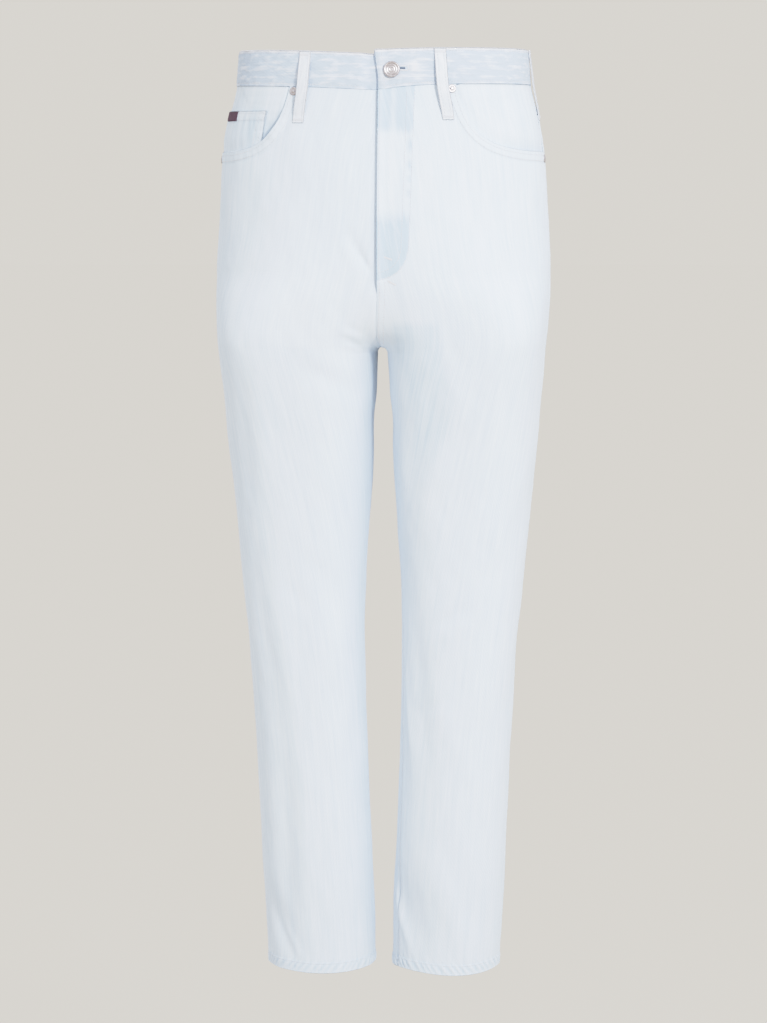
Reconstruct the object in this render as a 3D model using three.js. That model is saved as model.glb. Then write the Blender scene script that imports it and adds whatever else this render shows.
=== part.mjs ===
// Straight high-rise jeans, worn and hollow: a three.js model in millimetres.
// +X is the wearer's left, +Y the back and +Z up. The origin is the centre of the waist opening,
// level with the waistband's top edge at the side seams. "drop" is a distance below that level.
import * as THREE from "three";

// Driving sizes
const OUTSEAM = 993; // waistband top to hem, down the side
const CROTCH = 318; // waistband top to the crotch point
const CLOTH = 1.5; // wall of a panel
const GAP = 0.3; // between two pieces at a seam
const LAID = 0.55; // between a panel and what lies on it or behind it
const WAISTBAND_HEIGHT = 37;
const WAISTBAND_INSIDE = -0.8; // the waistband's wall, from the panels' inner face
const WAISTBAND_OUTSIDE = 2.4;
const WAIST_DIP = 7; // how far the waist seam is cut down at the centre front
const TOP_DIP = { left: 2.2, right: 6.6 }; // and the top edge, which stands up at the buttonhole end
const DIP_REACH = { left: 40, right: 100 }; // how far round the dip goes
const UNDERLAP = 38; // of the waistband's button end, under its buttonhole end
const UNDERLAP_STEP = 3.6; // how far the button end lies inside the buttonhole end
const FLY_OFFSET = 4; // the fly's edge, to the wearer's left of the centre front
const FLY_WIDTH = 34;
const FLY_LENGTH = 190; // below the waistband
const HEM_DEPTH = 11;
const HEM_DIP = 5; // a hem hangs lower in front
const HEM_EXTRA = 0.7; // the turned-up hem is this much thicker
const POCKET_ACROSS = { left: 115, right: 109 }; // pocket mouth, from the side seam along the waist seam
const POCKET_DOWN = 72; // and down the side seam
const POCKET_CURVE = 3.6; // exponent of the mouth's superellipse
const FACING_MARGIN = 16; // of the pocket facing, under the front panel
const COIN_POCKET_DROP = 66; // its top edge
const COIN_POCKET_ACROSS = 89; // from the side seam
const TAB = { from: -47, to: -21, height: 9.5 };
const YOKE_SIDE = 32; // yoke height at the side seam
const YOKE_BACK = 64; // and at the centre back
const BACK_POCKET = { across: 132, bottom: 116, side: 128, point: 150, below: 24, fromBack: 93 };
const LOOP_PLACES = [
  { name: "front_left", side: 1, top: 68.4, bottom: 78.1 },
  { name: "front_right", side: -1, top: 74.4, bottom: 81.6 },
  { name: "side_left", side: 1, fromSide: 8 },
  { name: "side_right", side: -1, fromSide: 27 },
  { name: "back", side: 1, fromBack: 0 },
];
const LOOP_WIDTH = 11.5;
const LOOP_LENGTH = 75;
const LOOP_ARCH = 3.2; // how far a belt loop stands off in its middle
const BUTTON_RADIUS = 8.8;
const RIVET_RADIUS = 4.6;
const RIVET_BELOW = 7; // of the rivets at the side seams, below the pocket mouths' ends

const mix = THREE.MathUtils.lerp;
const smooth = THREE.MathUtils.smoothstep;
const steps = (from, to, count) => Array.from({ length: count + 1 }, (_, i) => mix(from, to, i / count));

// Turns rows of numbers into rows with named columns.
function table(names, rows) {
  const keys = names.split(" ");
  return rows.map((row) => Object.fromEntries(keys.map((key, i) => [key, row[i]])));
}

// One row for each level. Across the wearer: "outer" is the outer side and "middle" the middle of the
// half section. Above the crotch the two halves run into each other, and below it they are the legs.
// "front" and "back" are depths from "centre", "square" is the section's exponent, and "soft" rounds
// the two halves into each other at the middle.
const sections = table("drop outer middle front back centre square soft", [
  [0, 154, 0, 84, 84, 0, 2.3, 0],
  [37, 157, 0, 88, 88, 0, 2.3, 0],
  [75, 166, 0, 92, 94, 0, 2.25, 0],
  [107, 172, 0, 96, 101, 0, 2.2, 0],
  [150, 175, 4, 100, 110, 0, 2.16, 2],
  [190, 177, 18, 102, 117, 0, 2.13, 8],
  [235, 179.2, 47, 103, 120, 0, 2.12, 20],
  [260, 179.2, 69, 102.9, 120, 0, 2.12, 27],
  [280, 177.9, 85, 102.3, 118.8, 0.5, 2.13, 30],
  [300, 175.9, 95.7, 101.1, 116.3, 1, 2.18, 28],
  [310, 174.7, 98.6, 100.2, 114.6, 1.2, 2.21, 25.5],
  [314, 174.2, 99.3, 99.8, 113.8, 1.3, 2.23, 24.5],
  [CROTCH, 173.7, 99.5, 99.4, 113, 1.5, 2.24, 23.5],
  [322, 173.3, 99.3, 99, 112.2, 1.6, 2.25, 22.6],
  [328, 172.8, 98.6, 98.4, 110.9, 1.8, 2.25, 21.5],
  [345, 171.6, 96.7, 96.3, 107, 2.2, 2.24, 18.5],
  [377, 169.4, 92.3, 92.3, 99.6, 3, 2.18, 10],
  [421, 166, 89.8, 86.5, 91.5, 4, 2.1, 0],
  [464, 161.4, 88.3, 81.2, 85, 4, 2.04, 0],
  [508, 156.6, 87.3, 76.5, 79.5, 3.5, 2, 0],
  [552, 152.2, 86.4, 72.8, 75, 2.5, 2, 0],
  [595, 148.4, 85.4, 69.5, 71.5, 1, 2, 0],
  [639, 144, 83.4, 67, 69, 0, 2, 0],
  [727, 138.8, 79.9, 62, 66, 2, 2, 0],
  [815, 134.2, 76, 59, 63, 4, 2, 0],
  [903, 130.2, 71.9, 57, 60, 5, 2, 0],
  [948, 128, 70.2, 56.5, 58.5, 6, 2, 0],
  [OUTSEAM, 124.8, 68.2, 57, 58, 6, 2, 0],
]);

// The front half's own exponent: the thighs are flatter in front and turn more quickly at their edges.
const frontSquares = table("drop square", [
  [0, 2.3],
  [37, 2.3],
  [107, 2.2],
  [150, 2.16],
  [190, 2.14],
  [235, 2.2],
  [262, 2.5],
  [285, 3],
  [303, 3.5],
  [CROTCH, 3.7],
  [335, 3.5],
  [370, 3],
  [421, 2.7],
  [508, 2.5],
  [639, 2.35],
  [815, 2.2],
  [OUTSEAM, 2.1],
]);

// How far the seams lie from the side and from the middle of the inner leg, positive towards the back
// at the side and towards the front at the inner leg. Washed denim legs twist a little.
const seams = table("drop sideRight sideLeft inseamRight inseamLeft", [
  [0, 0, 0, 0, 0],
  [250, 0, 0, 0, 0],
  [CROTCH, -6, 2, 0, 0],
  [377, -14, 5, -4, 12],
  [464, -17, 8, -8, 21],
  [639, -13, 8, -10, 28],
  [815, -10, 6, -10, 29],
  [OUTSEAM, -8, 4, -8, 33],
]);

// The largest folds. "around" is -1 at the inner front edge, 0 at the side and 1 at the inner back
// edge; "lean" is the turn of a fold from upright, in degrees, and a negative height is a trough.
const folds = table("side around drop length width lean height", [
  [1, -0.86, 400, 190, 19, 14, -3.2],
  [1, -0.6, 372, 150, 16, 38, 1.8],
  [1, -0.45, 640, 220, 24, -24, -2.2],
  [1, -0.72, 935, 150, 13, 24, -4],
  [1, -0.45, 930, 160, 15, 20, 2.2],
  [-1, -0.3, 950, 130, 14, -30, -3],
  [-1, -0.5, 640, 240, 24, 22, -2],
  [-1, -0.8, 352, 110, 13, -62, -1.8],
  [-1, -0.2, 560, 260, 22, 6, 1.8],
  [1, 0.55, 345, 170, 20, 48, -3.4],
  [-1, 0.52, 350, 180, 20, -46, -3.6],
  [1, 0.4, 425, 190, 22, 40, 2.2],
  [-1, 0.42, 432, 180, 20, -42, 2],
  [1, 0.5, 600, 170, 17, 62, -2.8],
  [-1, 0.48, 612, 180, 18, -58, -3],
  [1, 0.6, 655, 150, 15, 58, -2],
  [-1, 0.3, 700, 200, 20, 30, -2],
  [1, 0.35, 900, 170, 18, -28, -2.6],
  [-1, 0.55, 915, 150, 16, 26, -2.6],
]);

// Value of a table's column at a drop, by a monotone cubic through its rows.
function at(rows, column, drop) {
  const last = rows.length - 1;
  if (drop <= rows[0].drop) return rows[0][column];
  if (drop >= rows[last].drop) return rows[last][column];
  let i = 0;
  while (rows[i + 1].drop < drop) i++;
  const slope = (k) => (rows[k + 1][column] - rows[k][column]) / (rows[k + 1].drop - rows[k].drop);
  const tangent = (k) => {
    if (k === 0) return slope(0);
    if (k === last) return slope(last - 1);
    const before = slope(k - 1);
    const after = slope(k);
    return before * after <= 0 ? 0 : (2 * before * after) / (before + after);
  };
  const step = rows[i + 1].drop - rows[i].drop;
  const t = (drop - rows[i].drop) / step;
  const rise = rows[i + 1][column] - rows[i][column];
  const a = tangent(i) * step - rise;
  const b = rise - tangent(i + 1) * step;
  return rows[i][column] + t * rise + t * (1 - t) * ((1 - t) * a + t * b);
}

const sizesAt = (drop) => {
  const size = (column) => at(sections, column, drop);
  const middle = size("middle");
  const soft = size("soft");
  return {
    middle,
    soft,
    across: Math.hypot(size("outer"), soft) - middle,
    front: size("front"),
    back: size("back"),
    centre: size("centre"),
    square: size("square"),
    frontSquare: at(frontSquares, "square", drop),
  };
};

// Half of the section at one level, as points from the inner front edge to the inner back edge, with
// their distance along the cloth from the side, negative in front.
const HALF_STEPS = 72;
const ringCache = new Map();
function ringAt(drop) {
  if (ringCache.has(drop)) return ringCache.get(drop);
  const s = sizesAt(drop);
  const spot = (angle) => {
    const c = Math.cos(angle);
    const d = Math.sin(angle);
    const depth = d < 0 ? s.front : s.back;
    const n = d < 0 ? s.frontSquare : s.square;
    const r = (Math.abs(c / s.across) ** n + Math.abs(d / depth) ** n) ** (-1 / n);
    const x = s.middle + r * c;
    return { wide: x, x: Math.sqrt(Math.max(0, x * x - s.soft * s.soft)), y: s.centre + r * d };
  };
  // The angle at which one half meets the other one, or half a turn where the legs are apart.
  const meeting = (sign) => {
    if (spot(sign * Math.PI).wide >= s.soft) return sign * Math.PI;
    let low = 0;
    let high = Math.PI;
    for (let k = 0; k < 50; k++) {
      const mid = (low + high) / 2;
      if (spot(sign * mid).wide > s.soft) low = mid;
      else high = mid;
    }
    return sign * low;
  };
  const half = (sign) => {
    const end = meeting(sign);
    const points = [];
    let length = 0;
    for (let k = 0; k <= HALF_STEPS; k++) {
      const share = k / HALF_STEPS;
      const p = spot(end * Math.sin((share * Math.PI) / 2));
      const last = points[k - 1];
      if (last) length += Math.hypot(p.x - last.x, p.y - last.y);
      points.push({ x: p.x, y: p.y, g: sign * length });
    }
    return points;
  };
  const front = half(-1).reverse();
  const back = half(1).slice(1);
  const ring = {
    points: [...front, ...back],
    front: -front[0].g,
    back: back[back.length - 1].g,
    parted: drop >= CROTCH,
  };
  ringCache.set(drop, ring);
  return ring;
}

// Where a distance along the cloth lies on one side. Past the inner edge it goes on round a leg, or
// across the middle to the other side of the hips.
function onRing(side, drop, g) {
  const ring = ringAt(drop);
  const girth = ring.front + ring.back;
  if (g < -ring.front) return ring.parted ? onRing(side, drop, g + girth) : onRing(-side, drop, -2 * ring.front - g);
  if (g > ring.back) return ring.parted ? onRing(side, drop, g - girth) : onRing(-side, drop, 2 * ring.back - g);
  let low = 0;
  let high = ring.points.length - 1;
  while (high - low > 1) {
    const mid = (low + high) >> 1;
    if (ring.points[mid].g <= g) low = mid;
    else high = mid;
  }
  const a = ring.points[low];
  const b = ring.points[high];
  const t = (g - a.g) / (b.g - a.g);
  return { side, g, x: side * (a.x + t * (b.x - a.x)), y: a.y + t * (b.y - a.y) };
}

// The outward normal, from the equation of the section.
function normalAt(x, y, drop) {
  const value = (px, py, d) => {
    const s = sizesAt(d);
    const depth = py < s.centre ? s.front : s.back;
    const n = py < s.centre ? s.frontSquare : s.square;
    const wide = Math.sqrt(px * px + s.soft * s.soft);
    return Math.abs((wide - s.middle) / s.across) ** n + Math.abs((py - s.centre) / depth) ** n;
  };
  const h = 0.2;
  const v = new THREE.Vector3(
    value(x + h, y, drop) - value(x - h, y, drop),
    value(x, y + h, drop) - value(x, y - h, drop),
    value(x, y, drop - h) - value(x, y, drop + h),
  );
  return v.normalize();
}

// A panel's width, without the fork that widens it quickly at the crotch.
const FORK_FROM = 235;
const FORK_TO = 480;
function plainWidth(half, drop) {
  if (drop <= FORK_FROM || drop >= FORK_TO) return ringAt(drop)[half];
  return mix(ringAt(FORK_FROM)[half], ringAt(FORK_TO)[half], smooth(drop, FORK_FROM, FORK_TO));
}

// How far the folds lift the cloth at a place.
function foldHeight(side, drop, g) {
  let lift = 0;
  for (const f of folds) {
    if (f.side !== side) continue;
    const down = drop - f.drop;
    const aside = g - f.around * plainWidth(f.around < 0 ? "front" : "back", drop);
    const lean = THREE.MathUtils.degToRad(f.lean);
    const along = (down * Math.cos(lean) + aside * Math.sin(lean)) / (f.length / 2);
    const off = (aside * Math.cos(lean) - down * Math.sin(lean)) / f.width;
    if (Math.abs(along) < 1) lift += f.height * Math.exp(-off * off) * (1 - along * along) ** 2;
  }
  return lift;
}

// A point of the garment: side, drop, distance from the side line along the cloth, height off the cloth.
function pointOn(side, drop, g, height) {
  const spot = onRing(side, drop, g);
  const normal = normalAt(spot.x, spot.y, drop);
  const lift = height + foldHeight(spot.side, drop, spot.g);
  return new THREE.Vector3(spot.x, spot.y, -drop).addScaledVector(normal, lift);
}

// A closed wall from a grid of places, each { side, drop, g, low, high }.
function wall(grid) {
  const rows = grid.length;
  const columns = grid[0].length;
  const points = [];
  for (const face of ["low", "high"])
    for (const row of grid)
      for (const p of row) points.push(pointOn(p.side, p.drop, p.g, p[face]));
  const index = [];
  const quad = (a, b, c, d) => index.push(a, b, c, a, c, d);
  const low = (i, j) => i * columns + j;
  const high = (i, j) => rows * columns + low(i, j);
  for (let i = 0; i + 1 < rows; i++)
    for (let j = 0; j + 1 < columns; j++) {
      quad(high(i, j), high(i + 1, j), high(i + 1, j + 1), high(i, j + 1));
      quad(low(i, j), low(i, j + 1), low(i + 1, j + 1), low(i + 1, j));
    }
  for (let i = 0; i + 1 < rows; i++) {
    quad(high(i, 0), low(i, 0), low(i + 1, 0), high(i + 1, 0));
    const e = columns - 1;
    quad(high(i, e), high(i + 1, e), low(i + 1, e), low(i, e));
  }
  for (let j = 0; j + 1 < columns; j++) {
    quad(high(0, j), high(0, j + 1), low(0, j + 1), low(0, j));
    const e = rows - 1;
    quad(high(e, j), low(e, j), low(e, j + 1), high(e, j + 1));
  }
  let volume = 0;
  for (let k = 0; k < index.length; k += 3) {
    const [a, b, c] = [points[index[k]], points[index[k + 1]], points[index[k + 2]]];
    volume += a.dot(new THREE.Vector3().crossVectors(b, c));
  }
  if (volume < 0) index.reverse();
  const geometry = new THREE.BufferGeometry();
  geometry.setAttribute("position", new THREE.Float32BufferAttribute(points.flatMap((p) => p.toArray()), 3));
  geometry.setIndex(index);
  geometry.computeVertexNormals();
  return geometry;
}

// The waist seam and the waistband's top edge, as drops, at a distance round from the centre front.
const sideName = (side) => (side > 0 ? "left" : "right");
const dipShare = (side, fromFront) => Math.exp(-((Math.max(fromFront, 0) / DIP_REACH[sideName(side)]) ** 1.2));
const waistTop = (side, fromFront) => TOP_DIP[sideName(side)] * dipShare(side, fromFront);
const waistSeam = (side, g) =>
  WAISTBAND_HEIGHT + GAP + WAIST_DIP * dipShare(side, ringAt(WAISTBAND_HEIGHT).front + g);

const sideSeam = (side, drop) => at(seams, side < 0 ? "sideRight" : "sideLeft", drop);
const inseam = (side, drop) => at(seams, side < 0 ? "inseamRight" : "inseamLeft", drop);
// The line down the centre front: the fly's edge, which runs back to the middle at the crotch.
const flyLine = (drop) => FLY_OFFSET * (1 - smooth(drop, 250, CROTCH)) * smooth(drop, 0, WAISTBAND_HEIGHT);

// The edges of the front and back panels, half a gap inside their seams.
function frontEdges(side, drop) {
  const ring = ringAt(drop);
  const shift = ring.parted ? inseam(side, drop) : side * flyLine(drop);
  return { half: "front", inner: -ring.front + shift + GAP / 2, side: sideSeam(side, drop) - GAP / 2 };
}
function backEdges(side, drop) {
  const ring = ringAt(drop);
  const shift = ring.parted ? inseam(side, drop) : 0;
  return { half: "back", inner: ring.back + shift - GAP / 2, side: sideSeam(side, drop) + GAP / 2 };
}

// A place on a panel, at a share of the way from its inner edge to the side seam. The columns next to
// the inner edge take up the fork.
const FORK_SHARE = 0.36;
function place(edges, side, share, drop, low = 0, high = CLOTH) {
  const e = edges(side, drop);
  const turn = Math.sign(e.inner);
  const plain = e.inner - turn * (ringAt(drop)[e.half] - plainWidth(e.half, drop));
  const g = mix(plain, e.side, share) + (e.inner - plain) * Math.max(0, 1 - share / FORK_SHARE);
  return { side, drop, g, low, high };
}
const hemDip = (edges, share, drop) =>
  edges === frontEdges ? HEM_DIP * Math.sin(Math.PI * share) ** 2 * smooth(drop, 800, OUTSEAM) : 0;

// The levels of a leg panel's rows below its shaped top: close together where the crotch curves.
const HIP_LEVEL = 152;
const panelLevels = [
  ...steps(HIP_LEVEL, 260, 4),
  ...[275, 288, 298, 305, 310, 314, 316.6, CROTCH, 319.5, 322.5, 328, 341],
  ...steps(362, OUTSEAM - HEM_DEPTH - 24, 13),
  OUTSEAM - HEM_DEPTH - 1,
  OUTSEAM - HEM_DEPTH,
  OUTSEAM,
];
const hemmed = (drop) => CLOTH + (drop > OUTSEAM - HEM_DEPTH - 0.5 ? HEM_EXTRA : 0);

// A leg panel: rows from its shaped top edge down to the hip level, then one row for each level.
function legPanel(edges, side, top, topRows) {
  const rows = [];
  for (const v of steps(0, 1, topRows).slice(0, -1))
    rows.push(top.map((t) => place(edges, side, mix(t.share, t.even, v), mix(t.drop, HIP_LEVEL, v))));
  for (const drop of panelLevels)
    rows.push(top.map((t) => {
      const spot = place(edges, side, t.even, drop, 0, hemmed(drop));
      return { ...spot, drop: drop + hemDip(edges, t.even, drop) };
    }));
  return wall(rows);
}

// A point of the front pocket's mouth, by its share of the way from the waist seam to the side seam.
const acrossOf = (side) => POCKET_ACROSS[sideName(side)];
function mouth(side, share, grow = 0) {
  const spot = (angle) => {
    const across = (acrossOf(side) + grow) * Math.max(0, Math.cos(angle)) ** (2 / POCKET_CURVE);
    const down = (POCKET_DOWN + grow) * Math.sin(angle) ** (2 / POCKET_CURVE);
    return { g: sideSeam(side, 0) - across, drop: waistSeam(side, -across) + down };
  };
  const points = steps(0, Math.PI / 2, 400).map(spot);
  const lengths = [0];
  for (let k = 1; k < points.length; k++) {
    const [p, q] = [points[k - 1], points[k]];
    lengths.push(lengths[k - 1] + Math.hypot(q.g - p.g, q.drop - p.drop));
  }
  const target = share * lengths[points.length - 1];
  const k = Math.max(1, lengths.findIndex((length) => length >= target));
  const t = (target - lengths[k - 1]) / (lengths[k] - lengths[k - 1]);
  const [p, q] = [points[k - 1], points[k]];
  return { g: mix(p.g, q.g, t), drop: mix(p.drop, q.drop, t) };
}
// The share of the way along the mouth at which it is a distance across from the side seam.
function mouthShare(side, across, grow = 0) {
  let low = 0;
  let high = 1;
  for (let k = 0; k < 30; k++) {
    const mid = (low + high) / 2;
    if (-mouth(side, mid, grow).g > across) low = mid;
    else high = mid;
  }
  return low;
}

function frontPanel(side) {
  const straight = 5;
  const curved = 9;
  const columns = straight + curved;
  const corner = mouth(side, 0);
  const shareOf = (g, drop) => {
    const e = frontEdges(side, drop);
    return (g - e.inner) / (e.side - e.inner);
  };
  const top = [];
  for (let j = 0; j <= columns; j++) {
    let spot;
    if (j < straight) {
      const g = mix(frontEdges(side, WAISTBAND_HEIGHT + WAIST_DIP).inner, corner.g, j / straight);
      spot = { g, drop: waistSeam(side, g) };
    } else {
      spot = mouth(side, (j - straight) / curved);
    }
    const share = j === 0 ? 0 : j === columns ? 1 : shareOf(spot.g, spot.drop);
    top.push({ share, drop: spot.drop, even: j / columns });
  }
  return legPanel(frontEdges, side, top, 5);
}

// The yoke seam's drop, at a share of the way from the centre back to the side seam.
const yokeSeam = (share) => WAISTBAND_HEIGHT + mix(YOKE_BACK, YOKE_SIDE, share ** 0.9);

function backPanel(side) {
  const columns = 13;
  const top = steps(0, 1, columns).map((share) => ({ share, drop: yokeSeam(share) + GAP, even: share }));
  return legPanel(backEdges, side, top, 3);
}

function yoke(side) {
  const columns = 12;
  const rows = steps(0, 1, 2).map((v) =>
    steps(0, 1, columns).map((share) => {
      const seam = waistSeam(side, place(backEdges, side, share, WAISTBAND_HEIGHT).g);
      return place(backEdges, side, share, mix(seam, yokeSeam(share), v));
    }),
  );
  return wall(rows);
}

// The denim facing behind a front pocket's mouth, with a margin under the front panel.
const FACING_HIGH = -2 * LAID;
function pocketFacing(side) {
  const widest = acrossOf(side) + FACING_MARGIN;
  const from = mouthShare(side, widest - 4, FACING_MARGIN);
  const rows = steps(0, 1, 5).map((v) =>
    steps(0, 1, 11).map((t) => {
      const lower = mouth(side, mix(from, 1, t), FACING_MARGIN);
      const g = mix(-widest, -GAP, t);
      const upper = { g, drop: waistSeam(side, g) };
      const bottom = { g: Math.min(lower.g, -GAP), drop: lower.drop };
      const drop = mix(upper.drop, bottom.drop, v);
      return { side, g: mix(upper.g, bottom.g, v), drop, low: FACING_HIGH - CLOTH, high: FACING_HIGH };
    }),
  );
  return wall(rows);
}

// The small pocket on the wearer's right facing, as far as it shows in the mouth.
const COIN_POCKET_LOW = FACING_HIGH + LAID;
const COIN_POCKET_HIGH = COIN_POCKET_LOW + 1.2;
function coinPocket() {
  const side = -1;
  const clear = 0.6; // from the front panel's edge, and from the side seam
  const from = mouthShare(side, COIN_POCKET_ACROSS, -clear);
  const rows = steps(0, 1, 3).map((v) =>
    steps(0, 1, 8).map((t) => {
      const lower = mouth(side, mix(from, 1, t), -clear);
      const g = Math.min(mix(-COIN_POCKET_ACROSS, -clear, t), -clear);
      const bottom = { g: Math.min(lower.g, -clear), drop: lower.drop };
      const drop = mix(COIN_POCKET_DROP, bottom.drop, v);
      return { side, g: mix(g, bottom.g, v), drop, low: COIN_POCKET_LOW, high: COIN_POCKET_HIGH };
    }),
  );
  return wall(rows);
}

// A plain tape tab on the small pocket's hem, next to the side seam.
function sideTab() {
  const low = COIN_POCKET_HIGH + GAP;
  const rows = steps(0, 1, 1).map((v) =>
    steps(0, 1, 3).map((u) => {
      const g = mix(TAB.from, TAB.to, u);
      return { side: -1, drop: COIN_POCKET_DROP + 1 + v * TAB.height, g, low, high: low + 0.8 };
    }),
  );
  return wall(rows);
}

// A five-sided patch pocket on a back panel.
function backPocket(side) {
  const b = BACK_POCKET;
  const rows = steps(0, 1, 6).map((v) =>
    steps(-1, 1, 8).map((u) => {
      const bottom = mix(b.point, b.side, Math.abs(u));
      const centre = ringAt(HIP_LEVEL).back - b.fromBack;
      const g = centre - (u * mix(b.across, b.bottom, v)) / 2;
      const share = THREE.MathUtils.clamp((ringAt(HIP_LEVEL).back - g) / ringAt(HIP_LEVEL).back, 0, 1);
      const drop = yokeSeam(share) + b.below + v * bottom;
      return { side, g, drop, low: CLOTH + LAID, high: CLOTH + LAID + CLOTH };
    }),
  );
  return wall(rows);
}

// The waistband, from its buttonhole end round the back to its button end, which lies under the first.
function waistband() {
  const top = ringAt(0);
  const girth = 2 * (top.front + top.back);
  const underlap = steps(0, UNDERLAP, 4).slice(1).map((past) => 1 + past / girth);
  const stations = [...steps(flyLine(0) / girth, 1, 64), ...underlap];
  const rows = steps(0, 1, 2).map((down) =>
    stations.map((station) => {
      const side = station < 0.5 ? 1 : -1;
      const fromFront = girth * (side > 0 ? station : 1 - station);
      const seam = WAISTBAND_HEIGHT + WAIST_DIP * dipShare(side, fromFront);
      const drop = mix(waistTop(side, fromFront), seam, down);
      const ring = ringAt(drop);
      const round = station * 2 * (ring.front + ring.back);
      const start = side > 0 ? flyLine(drop) * Math.max(0, 1 - fromFront / 30) : 0;
      const g = side > 0 ? round - ring.front + start : 2 * ring.back + ring.front - round;
      const step = UNDERLAP_STEP * (1 - smooth((1 - station) * girth, 3, 20));
      return { side, drop, g, low: WAISTBAND_INSIDE - step, high: WAISTBAND_OUTSIDE - step };
    }),
  );
  return wall(rows);
}

// A strip behind the fly, from one distance to another to the wearer's left of the centre front.
function flyStrip(from, to, length, low, high, rounded = 0) {
  const rows = steps(0, 1, 7).map((v) =>
    steps(0, 1, 3).map((u) => {
      const drop = WAISTBAND_HEIGHT + WAIST_DIP + 1.3 + v * length;
      const narrow = rounded * Math.max(0, v - 0.72) ** 2 * (to - from);
      const g = -ringAt(drop).front + mix(from, to - narrow, u);
      return { side: 1, drop, g, low, high };
    }),
  );
  return wall(rows);
}

// A belt loop, sewn on at its two ends and arched over the waistband between them.
function beltLoop({ side, top, bottom, fromSide, fromBack }) {
  const end = 0.1; // share of the length that is sewn flat
  const gAt = (drop, fromFront) => {
    if (fromSide !== undefined) return fromSide;
    return fromBack !== undefined ? ringAt(drop).back - fromBack : fromFront - ringAt(drop).front;
  };
  const topG = gAt(0, top);
  const bottomG = gAt(LOOP_LENGTH, bottom);
  const rows = steps(0, 1, 9).map((v) =>
    steps(-1, 1, 2).map((u) => {
      const drop = waistTop(side, ringAt(0).front + topG) + 0.5 + v * LOOP_LENGTH;
      const over = drop < WAISTBAND_HEIGHT + WAIST_DIP + 2 ? WAISTBAND_OUTSIDE : CLOTH;
      const arch = LOOP_ARCH * Math.sin(Math.PI * THREE.MathUtils.clamp((v - end) / (1 - 2 * end), 0, 1)) ** 0.8;
      const low = Math.max(over, v < 1 - end ? WAISTBAND_OUTSIDE : CLOTH) + GAP + arch;
      return { side, drop, g: mix(topG, bottomG, v) + (u * LOOP_WIDTH) / 2, low, high: low + 1.4 };
    }),
  );
  return wall(rows);
}

// A turned metal piece that sits on the cloth, facing out.
function turned(profile, side, drop, g, height, segments) {
  const points = profile.map(([r, h]) => new THREE.Vector2(r, h));
  const geometry = new THREE.LatheGeometry(points, segments);
  const seat = pointOn(side, drop, g, height);
  const out = pointOn(side, drop, g, height + 1).sub(seat).normalize();
  geometry.applyQuaternion(new THREE.Quaternion().setFromUnitVectors(new THREE.Vector3(0, 1, 0), out));
  geometry.translate(seat.x, seat.y, seat.z);
  return geometry;
}

const denim = new THREE.MeshStandardMaterial({ name: "denim", color: 0xe4e9f1, roughness: 0.93, metalness: 0 });
const metal = new THREE.MeshStandardMaterial({ name: "nickel", color: 0xc9c4c0, roughness: 0.32, metalness: 1 });
const tape = new THREE.MeshStandardMaterial({ name: "tape", color: 0x5d4154, roughness: 0.85, metalness: 0 });
const twill = new THREE.MeshStandardMaterial({ name: "lining_twill", color: 0xeef0f2, roughness: 0.95, metalness: 0 });

const jeans = new THREE.Group();
function add(name, geometry, material) {
  const mesh = new THREE.Mesh(geometry, material);
  mesh.name = name;
  jeans.add(mesh);
}

for (const [word, side] of [["left", 1], ["right", -1]]) {
  add("front_" + word, frontPanel(side), denim);
  add("back_" + word, backPanel(side), denim);
  add("yoke_" + word, yoke(side), denim);
  add("pocket_facing_" + word, pocketFacing(side), denim);
  add("back_pocket_" + word, backPocket(side), denim);
}
add("coin_pocket", coinPocket(), denim);
add("side_tab", sideTab(), tape);
add("waistband", waistband(), denim);

// Behind the fly, from the outside in: the placket, the zip and the shield.
const layer = (n, thick) => [-n * CLOTH - n * GAP - thick + CLOTH, -n * CLOTH - n * GAP + CLOTH];
add("fly_placket", flyStrip(FLY_OFFSET + 0.5, FLY_OFFSET + FLY_WIDTH, FLY_LENGTH, ...layer(1, CLOTH), 6), denim);
add("zip", flyStrip(-6, 22, FLY_LENGTH - 25, ...layer(2, 1.2)), twill);
add("fly_shield", flyStrip(-12, FLY_OFFSET + FLY_WIDTH, FLY_LENGTH - 5, ...layer(3, CLOTH)), denim);

for (const place of LOOP_PLACES) add("belt_loop_" + place.name, beltLoop(place), denim);

const buttonProfile = [[0, 0], [BUTTON_RADIUS - 2.2, 0], [BUTTON_RADIUS - 0.4, 1], [BUTTON_RADIUS, 2],
  [BUTTON_RADIUS - 0.7, 3], [BUTTON_RADIUS - 2, 3.3], [BUTTON_RADIUS - 3.4, 2.5], [0, 2.5]];
const rivetProfile = [[0, 0], [RIVET_RADIUS, 0], [RIVET_RADIUS - 0.2, 0.6], [RIVET_RADIUS - 1.4, 1.1],
  [1.9, 1.1], [1.2, 1.5], [0, 1.6]];
const buttonDrop = mix(waistTop(1, 0), WAISTBAND_HEIGHT + WAIST_DIP, 0.5);
const buttonG = -ringAt(buttonDrop).front + 18;
add("button", turned(buttonProfile, 1, buttonDrop, buttonG, WAISTBAND_OUTSIDE + GAP + 0.25, 24), metal);
// A rivet at each end of the two front pocket mouths.
const rivet = (side, drop, g) => turned(rivetProfile, side, drop, g, CLOTH + GAP, 16);
for (const [word, side] of [["left", 1], ["right", -1]]) {
  const upperG = mouth(side, 0).g - RIVET_RADIUS - 1;
  const lower = mouth(side, 1);
  add("rivet_" + word, rivet(side, waistSeam(side, upperG) + RIVET_RADIUS + 0.5, upperG), metal);
  add("rivet_side_" + word, rivet(side, lower.drop + RIVET_BELOW, lower.g - RIVET_RADIUS - 1.5), metal);
}

export default jeans;
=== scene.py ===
import math

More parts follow.
